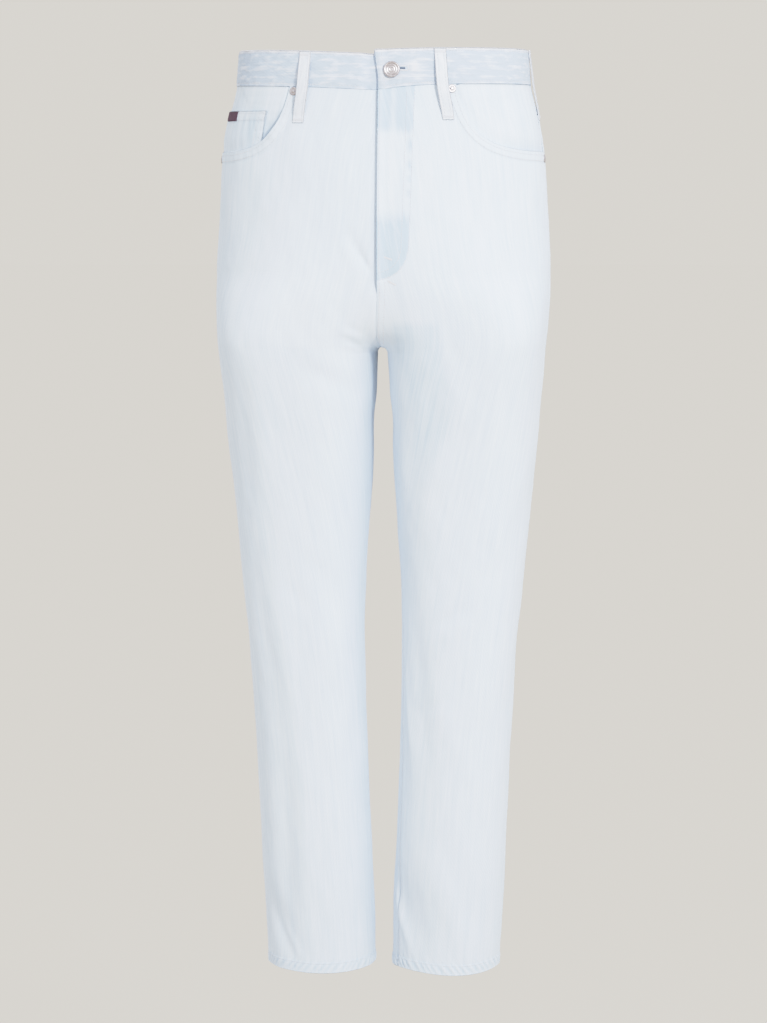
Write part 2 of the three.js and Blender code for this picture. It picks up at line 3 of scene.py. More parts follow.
import bpy
import numpy as np
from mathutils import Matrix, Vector

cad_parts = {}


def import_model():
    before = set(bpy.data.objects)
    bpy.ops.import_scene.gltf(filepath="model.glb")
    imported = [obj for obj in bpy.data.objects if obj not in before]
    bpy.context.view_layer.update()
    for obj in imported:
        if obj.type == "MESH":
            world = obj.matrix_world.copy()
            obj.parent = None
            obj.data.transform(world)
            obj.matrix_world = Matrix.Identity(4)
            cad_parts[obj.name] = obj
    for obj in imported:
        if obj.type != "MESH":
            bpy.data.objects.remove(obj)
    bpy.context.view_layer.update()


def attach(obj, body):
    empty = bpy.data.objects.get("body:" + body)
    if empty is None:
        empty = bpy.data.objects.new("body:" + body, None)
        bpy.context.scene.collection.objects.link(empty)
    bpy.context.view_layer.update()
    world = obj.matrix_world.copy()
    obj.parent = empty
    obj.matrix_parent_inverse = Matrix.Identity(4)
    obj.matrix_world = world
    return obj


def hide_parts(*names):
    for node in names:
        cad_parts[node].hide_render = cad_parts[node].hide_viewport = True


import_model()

# Sizes in millimetres, as in the solids
OUTSEAM = 993
CROTCH = 318
CLOTH = 1.5
COIN_CLOTH = 1.2
LOOP_CLOTH = 1.3
TAB_CLOTH = 0.8
GAP = 0.3
WAISTBAND_HEIGHT = 37
WAISTBAND_INSIDE = -0.8
WAISTBAND_OUTSIDE = 2.4
WAIST_DIP = 7
TOP_DIP = {1: 2.2, -1: 6.6}
DIP_REACH = {1: 40, -1: 100}
UNDERLAP = 38
UNDERLAP_STEP = 3.6
FLY_OFFSET = 4
FLY_WIDTH = 34
FLY_LENGTH = 190
HEM_DEPTH = 11
HEM_DIP = 5
HEM_EXTRA = 0.7
POCKET_ACROSS = {1: 115, -1: 109}
POCKET_DOWN = 72
POCKET_CURVE = 3.6
FACING_MARGIN = 16
COIN_POCKET_DROP = 66
COIN_POCKET_ACROSS = 89
TAB_FROM = -47
TAB_TO = -21
TAB_HEIGHT = 9.5
YOKE_SIDE = 32
YOKE_BACK = 64
HIP_LEVEL = 152
LOOP_WIDTH = 11.5
LOOP_LENGTH = 75
LOOP_ARCH = 3.2
RIVET_RADIUS = 4.6
RIVET_BELOW = 7
FORK_FROM = 235
FORK_TO = 480
FORK_SHARE = 0.36
SEAM_GAP = 0.12
FRONT_LAP = 3.4  # how far the right front reaches under the left one
LAP_END = 256
WAITING = 6  # the strip above the fork that holds the columns of a leg's inner side
STRAIGHT = 5 / 14  # share of a front's columns that end at the waist seam, and not at the pocket mouth
FACING_HIGH = -0.5
COIN_HEM = 10
BACK_DIP = 1.3
BAND_SUNK = 0.4
TWIN_ROWS = (2.2, 8.4)
METAL_SEAT = 0.5
SMALLEST_SIDE = 0.0105  # of a sheet's flat size, in metres
LEFT = 1
RIGHT = -1
WORD = {LEFT: "left", RIGHT: "right"}
METRES = 0.001
GAPE = {LEFT: (0.8, 120, 26), RIGHT: (3.6, 49, 15)}  # a mouth's gape, its middle along the mouth, its width
BACK_POCKET = {"across": 132, "bottom": 116, "side": 128, "point": 150, "below": 24, "from_back": 93}

# Stage, in metres
CAMERA_AZIMUTH = 6.0
CAMERA_PITCH = 4.43
CAMERA_DISTANCE = 4.5
CAMERA_HEIGHT = -0.15
FLOOR_LEVEL = -1.3
BACKDROP = (0.741, 0.71, 0.656)
FLOOR_SHADE = 0.12  # reflectance of the floor, which mostly shines evenly, as a lit studio sweep does
WORLD_LIGHT = 0.95
LIGHT_COLOUR = (0.972, 1, 1.052)


def mix(a, b, t):
    return a + (b - a) * t


def smooth(x, low, high):
    t = np.clip((x - low) / (high - low), 0, 1)
    return t * t * (3 - 2 * t)


def bump(x, centre, width):
    return np.exp(-(((x - centre) / width) ** 2))


def band(x, low, high, soft):
    """1 between low and high, with soft ends."""
    return smooth(x, low - soft, low + soft) * (1 - smooth(x, high - soft, high + soft))


def table(names, rows):
    """Rows of numbers as named columns."""
    return dict(zip(names.split(), np.array(rows, float).T))


def rows_of(columns):
    """The rows of a table, each with its numbers by name."""
    return [dict(zip(columns, row)) for row in zip(*columns.values())]


SECTIONS = table("drop outer middle front back centre square soft", [
    [0, 154, 0, 84, 84, 0, 2.3, 0],
    [37, 157, 0, 88, 88, 0, 2.3, 0],
    [75, 166, 0, 92, 94, 0, 2.25, 0],
    [107, 172, 0, 96, 101, 0, 2.2, 0],
    [150, 175, 4, 100, 110, 0, 2.16, 2],
    [190, 177, 18, 102, 117, 0, 2.13, 8],
    [235, 179.2, 47, 103, 120, 0, 2.12, 20],
    [260, 179.2, 69, 102.9, 120, 0, 2.12, 27],
    [280, 177.9, 85, 102.3, 118.8, 0.5, 2.13, 30],
    [300, 175.9, 95.7, 101.1, 116.3, 1, 2.18, 28],
    [310, 174.7, 98.6, 100.2, 114.6, 1.2, 2.21, 25.5],
    [314, 174.2, 99.3, 99.8, 113.8, 1.3, 2.23, 24.5],
    [CROTCH, 173.7, 99.5, 99.4, 113, 1.5, 2.24, 23.5],
    [322, 173.3, 99.3, 99, 112.2, 1.6, 2.25, 22.6],
    [328, 172.8, 98.6, 98.4, 110.9, 1.8, 2.25, 21.5],
    [345, 171.6, 96.7, 96.3, 107, 2.2, 2.24, 18.5],
    [377, 169.4, 92.3, 92.3, 99.6, 3, 2.18, 10],
    [421, 166, 89.8, 86.5, 91.5, 4, 2.1, 0],
    [464, 161.4, 88.3, 81.2, 85, 4, 2.04, 0],
    [508, 156.6, 87.3, 76.5, 79.5, 3.5, 2, 0],
    [552, 152.2, 86.4, 72.8, 75, 2.5, 2, 0],
    [595, 148.4, 85.4, 69.5, 71.5, 1, 2, 0],
    [639, 144, 83.4, 67, 69, 0, 2, 0],
    [727, 138.8, 79.9, 62, 66, 2, 2, 0],
    [815, 134.2, 76, 59, 63, 4, 2, 0],
    [903, 130.2, 71.9, 57, 60, 5, 2, 0],
    [948, 128, 70.2, 56.5, 58.5, 6, 2, 0],
    [OUTSEAM, 124.8, 68.2, 57, 58, 6, 2, 0],
])

# The front half's own exponent: the thighs are flatter in front and turn more quickly at their edges.
FRONT_SQUARES = table("drop square", [
    [0, 2.3],
    [37, 2.3],
    [107, 2.2],
    [150, 2.16],
    [190, 2.14],
    [235, 2.2],
    [262, 2.5],
    [285, 3],
    [303, 3.5],
    [CROTCH, 3.7],
    [335, 3.5],
    [370, 3],
    [421, 2.7],
    [508, 2.5],
    [639, 2.35],
    [815, 2.2],
    [OUTSEAM, 2.1],
])

SEAMS = table("drop side_right side_left inseam_right inseam_left", [
    [0, 0, 0, 0, 0],
    [250, 0, 0, 0, 0],
    [CROTCH, -6, 2, 0, 0],
    [377, -14, 5, -4, 12],
    [464, -17, 8, -8, 21],
    [639, -13, 8, -10, 28],
    [815, -10, 6, -10, 29],
    [OUTSEAM, -8, 4, -8, 33],
])

# The largest folds are those of the solids. "around" is -1 at the inner front edge, 0 at the side
# and 1 at the inner back edge, and "lean" turns a fold from upright, in degrees.
LARGE_FOLDS = table("side around drop length width lean height", [
    [1, -0.86, 400, 190, 19, 14, -3.2],
    [1, -0.6, 372, 150, 16, 38, 1.8],
    [1, -0.45, 640, 220, 24, -24, -2.2],
    [1, -0.72, 935, 150, 13, 24, -4],
    [1, -0.45, 930, 160, 15, 20, 2.2],
    [-1, -0.3, 950, 130, 14, -30, -3],
    [-1, -0.5, 640, 240, 24, 22, -2],
    [-1, -0.8, 352, 110, 13, -62, -1.8],
    [-1, -0.2, 560, 260, 22, 6, 1.8],
    [1, 0.55, 345, 170, 20, 48, -3.4],
    [-1, 0.52, 350, 180, 20, -46, -3.6],
    [1, 0.4, 425, 190, 22, 40, 2.2],
    [-1, 0.42, 432, 180, 20, -42, 2],
    [1, 0.5, 600, 170, 17, 62, -2.8],
    [-1, 0.48, 612, 180, 18, -58, -3],
    [1, 0.6, 655, 150, 15, 58, -2],
    [-1, 0.3, 700, 200, 20, 30, -2],
    [1, 0.35, 900, 170, 18, -28, -2.6],
    [-1, 0.55, 915, 150, 16, 26, -2.6],
])

# Smaller creases, in the same columns
CREASES = table("side around drop length width lean height", [
    # Beside the fly's lower end, over the crotch and over the thighs
    [-1, -0.93, 216, 80, 7, -30, -1.5],
    [-1, -0.955, 224, 50, 3.4, -30, -1.2],
    [-1, -1.02, 317, 80, 5, -88, 0.9],
    [1, -1.02, 317, 80, 5, 88, 0.9],
    [-1, -0.975, 298, 34, 3.4, -76, -0.9],
    [-1, -0.97, 312, 46, 4, -66, -0.9],
    [-1, -0.96, 304, 44, 4, -70, 0.6],
    [1, -0.92, 240, 60, 8, -40, 0.5],
    [1, -0.62, 318, 140, 15, -12, -0.8],
    [-1, -0.6, 315, 150, 18, -38, 0.5],
    [1, -0.5, 250, 170, 20, 34, 0.5],
    # Viewer's right leg: the long troughs inside it and the ridge along its inseam
    [1, -0.71, 395, 210, 13, -4, -2.3],
    [1, -0.86, 402, 200, 13, 14, 3.6],
    [1, -0.64, 500, 130, 12, 6, 1.2],
    [1, -0.69, 690, 380, 13, 5.8, -2.5],
    [1, -0.79, 705, 220, 4.2, 8, 1.1],
    [1, -0.69, 668, 48, 9, 0, -0.9],
    [1, -0.67, 730, 56, 10, 0, -1.1],
    [1, -0.56, 610, 64, 6, -50, -1.3],
    [1, -0.5, 622, 66, 7, -48, 0.8],
    [1, -0.63, 706, 54, 6, -60, -1.1],
    [1, -0.56, 760, 70, 8, -40, 0.7],
    [1, -0.36, 470, 200, 16, -8, 0.6],
    [1, -0.79, 942, 104, 4.6, 27, 2.3],
    [1, -0.66, 924, 96, 8, 16, -1.6],
    [1, -0.4, 960, 70, 9, -30, 0.6],
    # Viewer's left leg: the dark trough down its outer side, with a ridge on each side of it
    [-1, -0.33, 420, 250, 12, 11.5, -1.5],
    [-1, -0.41, 420, 250, 12, 11.5, 1.1],
    [-1, -0.32, 640, 310, 11, -5, -1.8],
    [-1, -0.42, 650, 310, 12, -6, 1.3],
    [-1, -0.36, 850, 340, 12, 1, -2.9],
    [-1, -0.47, 850, 340, 12, 1, 1.4],
    [-1, -0.28, 850, 260, 9, 0, 0.6],
    [-1, -0.6, 560, 90, 10, -40, -0.5],
    [-1, -0.68, 625, 80, 8, -34, 0.4],
    [-1, -0.5, 585, 60, 8, -44, -0.6],
    [-1, -0.36, 965, 60, 5, -30, 1.6],
    [-1, -0.28, 955, 64, 6, -28, -1.4],
    # Sides
    [1, -0.08, 180, 120, 12, 14, -0.7],
    [-1, -0.1, 190, 120, 12, -12, -0.7],
    [1, 0.05, 420, 190, 14, -16, -1],
    [-1, 0.04, 400, 200, 14, 14, -1],
    [1, 0.06, 640, 130, 11, 34, -1.1],
    [-1, 0.1, 655, 130, 11, -30, -1.1],
    [1, -0.05, 820, 170, 13, -12, -0.8],
    # Under the seat, behind the thighs and the knees
    [1, 0.84, 300, 90, 9, 60, -1.3],
    [-1, 0.82, 296, 95, 9, -58, -1.3],
    [1, 0.72, 320, 110, 9, 66, 1],
    [-1, 0.7, 322, 105, 9, -64, 1],
    [1, 0.86, 345, 90, 8, 64, -1.4],
    [-1, 0.88, 350, 85, 8, -66, -1.4],
    [1, 0.62, 382, 120, 10, 52, -1.2],
    [-1, 0.64, 390, 125, 10, -50, -1.2],
    [1, 0.3, 330, 110, 12, 40, 0.8],
    [-1, 0.28, 318, 115, 12, -40, 0.8],
    [1, 0.75, 570, 90, 8, 70, -1.2],
    [-1, 0.74, 580, 95, 8, -68, -1.3],
    [1, 0.66, 588, 80, 7, 64, 1],
    [-1, 0.64, 596, 85, 7, -62, 1],
    [1, 0.3, 620, 100, 9, 52, -1.2],
    [-1, 0.3, 636, 110, 9, -50, -1.1],
    [1, 0.78, 630, 90, 8, 58, -1.1],
    [-1, 0.8, 640, 90, 8, -54, -1],
    [1, 0.45, 700, 130, 11, 40, -1],
    [-1, 0.55, 735, 140, 12, -28, -1],
    [1, 0.7, 790, 150, 14, 18, 0.8],
    [-1, 0.35, 820, 160, 13, -14, 0.8],
    [1, 0.6, 940, 90, 9, 30, -1],
    [-1, 0.3, 950, 90, 9, -26, -1],
    # Upper back
    [1, 0.86, 190, 120, 14, 22, -0.7],
    [-1, 0.86, 200, 120, 14, -24, -0.7],
    [1, 0.4, 240, 130, 14, 44, 0.6],
    [-1, 0.44, 250, 130, 14, -42, 0.6],
])


def at(rows, column, drop):
    """A column's value at a drop, by a monotone cubic through its rows."""
    xs, ys = rows["drop"], rows[column]
    slopes = np.diff(ys) / np.diff(xs)
    before, after = slopes[:-1], slopes[1:]
    total = before + after
    joined = np.where(before * after <= 0, 0, 2 * before * after / np.where(total == 0, 1, total))
    tangents = np.concatenate([slopes[:1], joined, slopes[-1:]])
    d = np.clip(drop, xs[0], xs[-1])
    i = np.clip(np.searchsorted(xs, d, side="right") - 1, 0, len(xs) - 2)
    step = xs[i + 1] - xs[i]
    t = (d - xs[i]) / step
    rise = ys[i + 1] - ys[i]
    a = tangents[i] * step - rise
    b = rise - tangents[i + 1] * step
    return ys[i] + t * rise + t * (1 - t) * ((1 - t) * a + t * b)


def sizes_at(drop):
    s = {name: at(SECTIONS, name, drop) for name in SECTIONS if name != "drop"}
    s["across"] = np.hypot(s["outer"], s["soft"]) - s["middle"]
    s["front_square"] = at(FRONT_SQUARES, "square", drop)
    return s


# Each half section is kept at one level a millimetre, at equal steps along the cloth.
LEVELS = np.arange(-12.0, 1012.0)
RING_STEPS = 240


def half_sections():
    """Lengths and points of each half's sections, found by halving the angle at which each ends."""
    s = {name: value[:, None] for name, value in sizes_at(LEVELS).items()}
    kept = {}
    for half, sign in (("front", -1), ("back", 1)):
        depth = s[half]
        n = s["front_square"] if half == "front" else s["square"]

        def spot(angle):
            c, d = np.cos(angle), np.sin(angle)
            r = (np.abs(c / s["across"]) ** n + np.abs(d / depth) ** n) ** (-1 / n)
            return s["middle"] + r * c, s["centre"] + r * d

        low = np.zeros_like(depth)
        high = np.full_like(depth, math.pi)
        for _ in range(50):
            middle = (low + high) / 2
            beyond = spot(sign * middle)[0] > s["soft"]
            low = np.where(beyond, middle, low)
            high = np.where(beyond, high, middle)
        end = np.where(spot(np.full_like(depth, sign * math.pi))[0] >= s["soft"], math.pi, low)
        wide, y = spot(sign * end * np.sin(np.linspace(0, math.pi / 2, 2 * RING_STEPS + 1)))
        x = np.sqrt(np.maximum(0, wide**2 - s["soft"] ** 2))
        lengths = np.cumsum(np.hypot(np.diff(x, axis=1), np.diff(y, axis=1)), axis=1)
        lengths = np.concatenate([np.zeros_like(depth), lengths], axis=1)
        shares = np.linspace(0, 1, RING_STEPS + 1)
        even = [(np.interp(shares * g[-1], g, px), np.interp(shares * g[-1], g, py))
                for g, px, py in zip(lengths, x, y)]
        kept[half] = (lengths[:, -1], np.array([e[0] for e in even]), np.array([e[1] for e in even]))
    return kept


HALVES = half_sections()


def length_of(half, drop):
    return np.interp(drop, LEVELS, HALVES[half][0])


def on_ring(side, drop, g):
    """Where a distance along the cloth from the side lies, past the inner edge too."""
    side, drop, g = np.broadcast_arrays(*(np.asarray(v, float) for v in (side, drop, g)))
    front, back = length_of("front", drop), length_of("back", drop)
    parted = drop >= CROTCH
    before, after = g < -front, g > back
    moved = np.where(before, np.where(parted, g + front + back, -2 * front - g), g)
    moved = np.where(after, np.where(parted, g - front - back, 2 * back - g), moved)
    side = np.where((before | after) & ~parted, -side, side)
    level = np.clip(drop - LEVELS[0], 0, len(LEVELS) - 1.001)
    i = level.astype(int)
    t = level - i
    x, y = np.zeros_like(moved), np.zeros_like(moved)
    for half, here in (("front", moved < 0), ("back", moved >= 0)):
        length, xs, ys = HALVES[half]
        for level, weight in ((i, 1 - t), (i + 1, t)):
            share = np.clip(np.abs(moved) / length[level], 0, 0.99999) * RING_STEPS
            k = share.astype(int)
            u = share - k
            for rows, out in ((xs, x), (ys, y)):
                out[here] += (weight * mix(rows[level, k], rows[level, k + 1], u))[here]
    return side, moved, side * x, y


def normal_at(x, y, drop):
    """Outward normals of the plain surface, by small steps through its equation."""
    step = 0.2

    def value(px, py, s):
        depth = np.where(py < s["centre"], s["front"], s["back"])
        wide = np.sqrt(px * px + s["soft"] ** 2)
        n = np.where(py < s["centre"], s["front_square"], s["square"])
        return np.abs((wide - s["middle"]) / s["across"]) ** n + np.abs((py - s["centre"]) / depth) ** n

    here, above, below = sizes_at(drop), sizes_at(drop - step), sizes_at(drop + step)
    v = np.stack([
        value(x + step, y, here) - value(x - step, y, here),
        value(x, y + step, here) - value(x, y - step, here),
        value(x, y, above) - value(x, y, below),
    ], axis=-1)
    return v / np.linalg.norm(v, axis=-1, keepdims=True)


def plain_width(half, drop):
    """A panel's width without the fork that widens it quickly at the crotch."""
    ends = mix(length_of(half, FORK_FROM), length_of(half, FORK_TO), smooth(drop, FORK_FROM, FORK_TO))
    return np.where((drop <= FORK_FROM) | (drop >= FORK_TO), length_of(half, drop), ends)


def crease_shape(row, down, aside):
    """Share of a crease's height at a place below and beside its middle, by its lean, length and width."""
    lean = math.radians(row["lean"])
    along = (down * math.cos(lean) + aside * math.sin(lean)) / (row["length"] / 2)
    off = (aside * math.cos(lean) - down * math.sin(lean)) / row["width"]
    return np.exp(-off * off) * np.clip(1 - along * along, 0, 1) ** 2


def fold_height(folds, side, drop, g):
    lift = np.zeros_like(g)
    front, back = plain_width("front", drop), plain_width("back", drop)
    for f in rows_of(folds):
        aside = g - f["around"] * (front if f["around"] < 0 else back)
        shape = crease_shape(f, drop - f["drop"], aside)
        lift += np.where(side == f["side"], f["height"] * shape, 0)
    return lift


def waves(seed, count, across, along):
    """Directions and phases of a soft unevenness, from its shortest and longest wavelengths."""
    rng = np.random.default_rng(seed)
    turn = rng.uniform(0, 2 * math.pi, count)
    wide = 2 * math.pi / np.exp(rng.uniform(np.log(across[0]), np.log(across[1]), count))
    tall = 2 * math.pi / np.exp(rng.uniform(np.log(along[0]), np.log(along[1]), count))
    tall *= rng.choice([-1, 1], count)
    return np.stack([wide * np.cos(turn), wide * np.sin(turn), tall, rng.uniform(0, 2 * math.pi, count)], 1)


BROAD_WAVES = waves(11, 22, (34, 110), (90, 320))
FINE_WAVES = waves(12, 30, (11, 34), (26, 110))


def unevenness(x, y, drop):
    """The cloth's slight waves: never quite flat, and longer down the grain than across it."""
    lift = np.zeros_like(x)
    for kept, height in ((BROAD_WAVES, 0.95), (FINE_WAVES, 0.32)):
        total = sum(np.sin(kx * x + ky * y + kz * drop + phase) for kx, ky, kz, phase in kept)
        lift += height * total / math.sqrt(len(kept))
    return lift * 0.36


def cloth_at(side, drop, g):
    """Base point and outward normal of the cloth, with its folds in it, in millimetres."""
    side, moved, x, y = on_ring(side, drop, g)
    drop = np.broadcast_to(np.asarray(drop, float), x.shape)
    normal = normal_at(x, y, drop)
    lift = fold_height(LARGE_FOLDS, side, drop, moved) + fold_height(CREASES, side, drop, moved)
    lift += unevenness(x, y, drop) * smooth(drop, 0, 90)
    return np.stack([x, y, -drop], axis=-1) + normal * lift[..., None], normal


# Seam lines
def dip_share(side, from_front):
    return np.exp(-((np.maximum(from_front, 0) / DIP_REACH[side]) ** 1.2))


def waist_top(side, from_front):
    return TOP_DIP[side] * dip_share(side, from_front)


def waist_seam(side, g):
    return WAISTBAND_HEIGHT + GAP + WAIST_DIP * dip_share(side, length_of("front", WAISTBAND_HEIGHT) + g)


def side_seam(side, drop):
    return at(SEAMS, "side_" + WORD[side], drop)


def inseam(side, drop):
    return at(SEAMS, "inseam_" + WORD[side], drop)


def fly_line(drop):
    return FLY_OFFSET * (1 - smooth(drop, 250, CROTCH)) * smooth(drop, 0, WAISTBAND_HEIGHT)


def lapped(drop):
    """1 where the left front laps over the right one, 0 below, where the two are sewn edge to edge."""
    return 1 - smooth(drop, LAP_END - 10, LAP_END + 10)


def front_lap(drop):
    return FRONT_LAP * lapped(drop)


def front_edges(side, drop):
    shift = np.where(drop >= CROTCH, inseam(side, drop), side * fly_line(drop))
    lap = front_lap(drop) if side == RIGHT else 0
    inner = -length_of("front", drop) + shift + SEAM_GAP / 2 - lap
    return "front", inner, side_seam(side, drop) - SEAM_GAP / 2


def back_edges(side, drop):
    shift = np.where(drop >= CROTCH, inseam(side, drop), 0)
    return "back", length_of("back", drop) + shift - SEAM_GAP / 2, side_seam(side, drop) + SEAM_GAP / 2


def placed(edges, side, share, drop):
    """Distance from the side of a share of the way from a panel's inner edge to its side seam."""
    half, inner, outer = edges(side, drop)
    turn = np.sign(inner)
    plain = inner - turn * (length_of(half, drop) - plain_width(half, drop))
    return mix(plain, outer, share) + (inner - plain) * np.maximum(0, 1 - share / FORK_SHARE)


def mouth_line(side, grow=0.0, count=400):
    angle = np.linspace(0, math.pi / 2, count + 1)
    across = (POCKET_ACROSS[side] + grow) * np.maximum(0, np.cos(angle)) ** (2 / POCKET_CURVE)
    down = (POCKET_DOWN + grow) * np.sin(angle) ** (2 / POCKET_CURVE)
    g = side_seam(side, 0) - across
    drop = waist_seam(side, -across) + down
    length = np.concatenate([[0], np.cumsum(np.hypot(np.diff(g), np.diff(drop)))])
    return g, drop, length


def mouth(side, share, grow=0.0):
    """Places at shares of the way along a front pocket's mouth, or along a line that far outside it."""
    g, drop, length = mouth_line(side, grow)
    target = np.asarray(share, float) * length[-1]
    return np.interp(target, length, g), np.interp(target, length, drop)


def mouth_share(side, across, grow=0.0):
    g, _, length = mouth_line(side, grow)
    return np.interp(-across, g, length) / length[-1]


def gape(side, along):
    amount, centre, width = GAPE[side]
    return amount * bump(along, centre, width)


def mouth_distance(side, drop, g):
    """Distance from a front pocket's mouth, positive below it, and the place along it."""
    line_g, line_drop, length = mouth_line(side, count=160)
    far = np.full(np.shape(g), 99.0)
    along = np.zeros(np.shape(g))
    near = (drop < HIP_LEVEL + 10) & (g > -POCKET_ACROSS[side] - 40) & (g < 20)
    here_g, here_drop = np.asarray(g)[near], np.asarray(drop)[near]
    dg = here_g[:, None] - line_g
    dd = here_drop[:, None] - line_drop
    k = np.argmin(dg * dg + dd * dd, axis=1)
    rows = np.arange(len(k))
    inside = (here_g > line_g[0]) & (np.interp(here_g, line_g, line_drop) > here_drop)
    distance = np.hypot(dg[rows, k], dd[rows, k])
    far[near] = np.where(inside, -distance, distance)
    along[near] = length[k]
    return far, along


def yoke_seam(share):
    return WAISTBAND_HEIGHT + mix(YOKE_BACK, YOKE_SIDE, np.asarray(share, float) ** 0.9)


# Relief of the sewing: how far it lifts a piece's outer face, in millimetres
def pucker(along, pitch, turn=0.0):
    """Uneven ripples along a seam, from -1 to 1."""
    bend = 1.1 * np.sin(2 * math.pi * along / (pitch * 4.3) + turn)
    bend = bend + 0.7 * np.sin(along / (pitch * 0.9) + 2 * turn)
    return np.sin(2 * math.pi * along / pitch + bend + turn)


def rolled(distance, depth=0.85, ridge=0.3, at_ridge=8.0):
    """Next to a seam: the edge rolls in, and the turning behind it raises a low ridge."""
    return ridge * bump(distance, at_ridge, 3.4) - depth * bump(distance, 0, 1.25)


EDGES = {"front": front_edges, "back": back_edges}


def hem_up(half, side, drop, g):
    """Distance up from a leg's lower edge."""
    _, inner, outer = EDGES[half](side, drop)
    share = np.clip((g - inner) / (outer - inner), 0, 1)
    dip = HEM_DIP * np.sin(math.pi * share) ** 2 if half == "front" else 0
    return OUTSEAM + dip - drop


def hem_turn(half, side):
    """Start of a hem's ripples, so that no two hems have the same."""
    return 0.8 * side + (2.1 if half == "back" else 0)


def hem_roping(half, side, g, up):
    """The slanting ripples of a hem, from -1 to 1."""
    return pucker(g + 0.75 * up, 7.6, hem_turn(half, side))


def hem_lift(half, side, drop, g):
    up = hem_up(half, side, drop, g)
    roping = 0.5 * hem_roping(half, side, g, up) * bump(up, 5.5, 4.6)
    above = 0.16 * pucker(g + 0.4 * up, 9.5, hem_turn(half, side)) * bump(up, 15, 5)
    edge = HEM_EXTRA * smooth(HEM_DEPTH + 0.4 - up, 0, 1.6) - 0.35 * bump(up, HEM_DEPTH - 1.6, 0.9)
    return edge + roping + above


def front_lift(side, drop, g):
    _, inner, outer = front_edges(side, drop)
    from_side = outer - g
    from_inner = g - inner
    upper = lapped(drop)
    lift = rolled(from_side) * smooth(drop, 100, 122)
    lift += rolled(from_inner, mix(0.4, 0.85, smooth(drop, 300, 345)), 0.45, 5) * (1 - upper)
    lift += 0.12 * pucker(drop, 13, side) * bump(from_side, 4, 5) * smooth(drop, 110, 140)
    if side == LEFT:
        lift += (2.6 * bump(from_inner, 0.5, 5) + 0.16 * pucker(drop, 15) * bump(from_inner, 5, 5)) * upper
        lift += fly_lift(drop, from_inner + fly_line(drop))
    else:
        under = front_lap(drop) - from_inner
        lift -= 2.25 * smooth(under, -8, -2.6) * upper
    distance, along = mouth_distance(side, drop, g)
    lift += 0.5 * band(distance, -4, 9.8, 1.4)
    lift += 0.9 * gape(side, along) * smooth(12 - distance, 0, 12)
    lift += 0.17 * pucker(along, 8.2, side) * bump(distance, 6, 5)
    lift -= 0.22 * bump(distance, 11.4, 1.3)
    return lift + hem_lift("front", side, drop, g)


def fly_lift(drop, from_front):
    """The stitched fly: a low step at its outer stitch line, and slight puckers inside it."""
    outline = j_distance(drop, from_front)
    step = 0.3 * smooth(outline, -0.6, 1.2) - 0.22 * bump(outline, 0, 1)
    ripple = 0.17 * pucker(drop + 0.3 * from_front, 17, 0.6) * bump(outline, 5, 6)
    return (step + ripple) * smooth(drop, 34, 60)


def j_line():
    """The fly's outer stitch line, from the waist seam to the centre front."""
    rows = table("from_front drop", [
        [42.3, 43], [41.2, 90], [39.8, 140], [38.6, 185], [37.4, 213], [35.6, 222],
        [32, 229.6], [26, 236.6], [18, 241.6], [9, 244.6], [5.2, 245.2],
    ])
    return rows["from_front"], rows["drop"]


def j_points(count):
    """Points through the fly's outer stitch line."""
    place = np.linspace(0, 1, count)
    return [np.interp(place, np.linspace(0, 1, len(values)), values) for values in j_line()]


def j_distance(drop, from_front):
    """Distance inside the fly's outer stitch line, negative outside it."""
    across, down = j_line()
    line_x, line_y = j_points(120)
    out = np.full(np.shape(drop), -99.0)
    near = (drop < 275) & (from_front < 70) & (from_front > -20)
    x, y = np.asarray(from_front)[near], np.asarray(drop)[near]
    distance = np.sqrt(((x[:, None] - line_x) ** 2 + (y[:, None] - line_y) ** 2).min(axis=1))
    edge = np.interp(y, down, across, right=-99)
    out[near] = np.where(x < edge, distance, -distance)
    return out


def below_yoke(drop, g):
    return drop - yoke_seam(np.clip(1 - (g / length_of("back", drop)), 0, 1))


def middle_lift(side, distance):
    """Beside the middle of the back, where the left side laps over the right one."""
    if side == LEFT:
        return 0.55 * band(distance, -4, 9.4, 1.2) - 0.5 * bump(distance, 0, 0.9)
    return rolled(distance, ridge=0)


def back_lift(side, drop, g):
    _, inner, outer = back_edges(side, drop)
    from_side = g - outer
    from_inner = inner - g
    upper = 1 - smooth(drop, 300, 318)
    lift = rolled(from_side)
    lift += rolled(from_inner, ridge=0.45, at_ridge=5) * (1 - upper)
    lift += middle_lift(side, from_inner) * upper
    lift += 0.12 * pucker(drop, 13, side) * bump(from_side, 4, 5)
    lift += 0.16 * pucker(drop, 11, side) * bump(from_inner, 5, 5) * upper
    below = below_yoke(drop, g)
    lift += 0.45 * band(below, -4, 9.2, 1.2) - 0.5 * bump(below, 0, 0.9)
    lift += 0.18 * pucker(g, 9, side) * bump(below, 5, 5)
    return lift + hem_lift("back", side, drop, g)


LIFTS = {"front": front_lift, "back": back_lift}


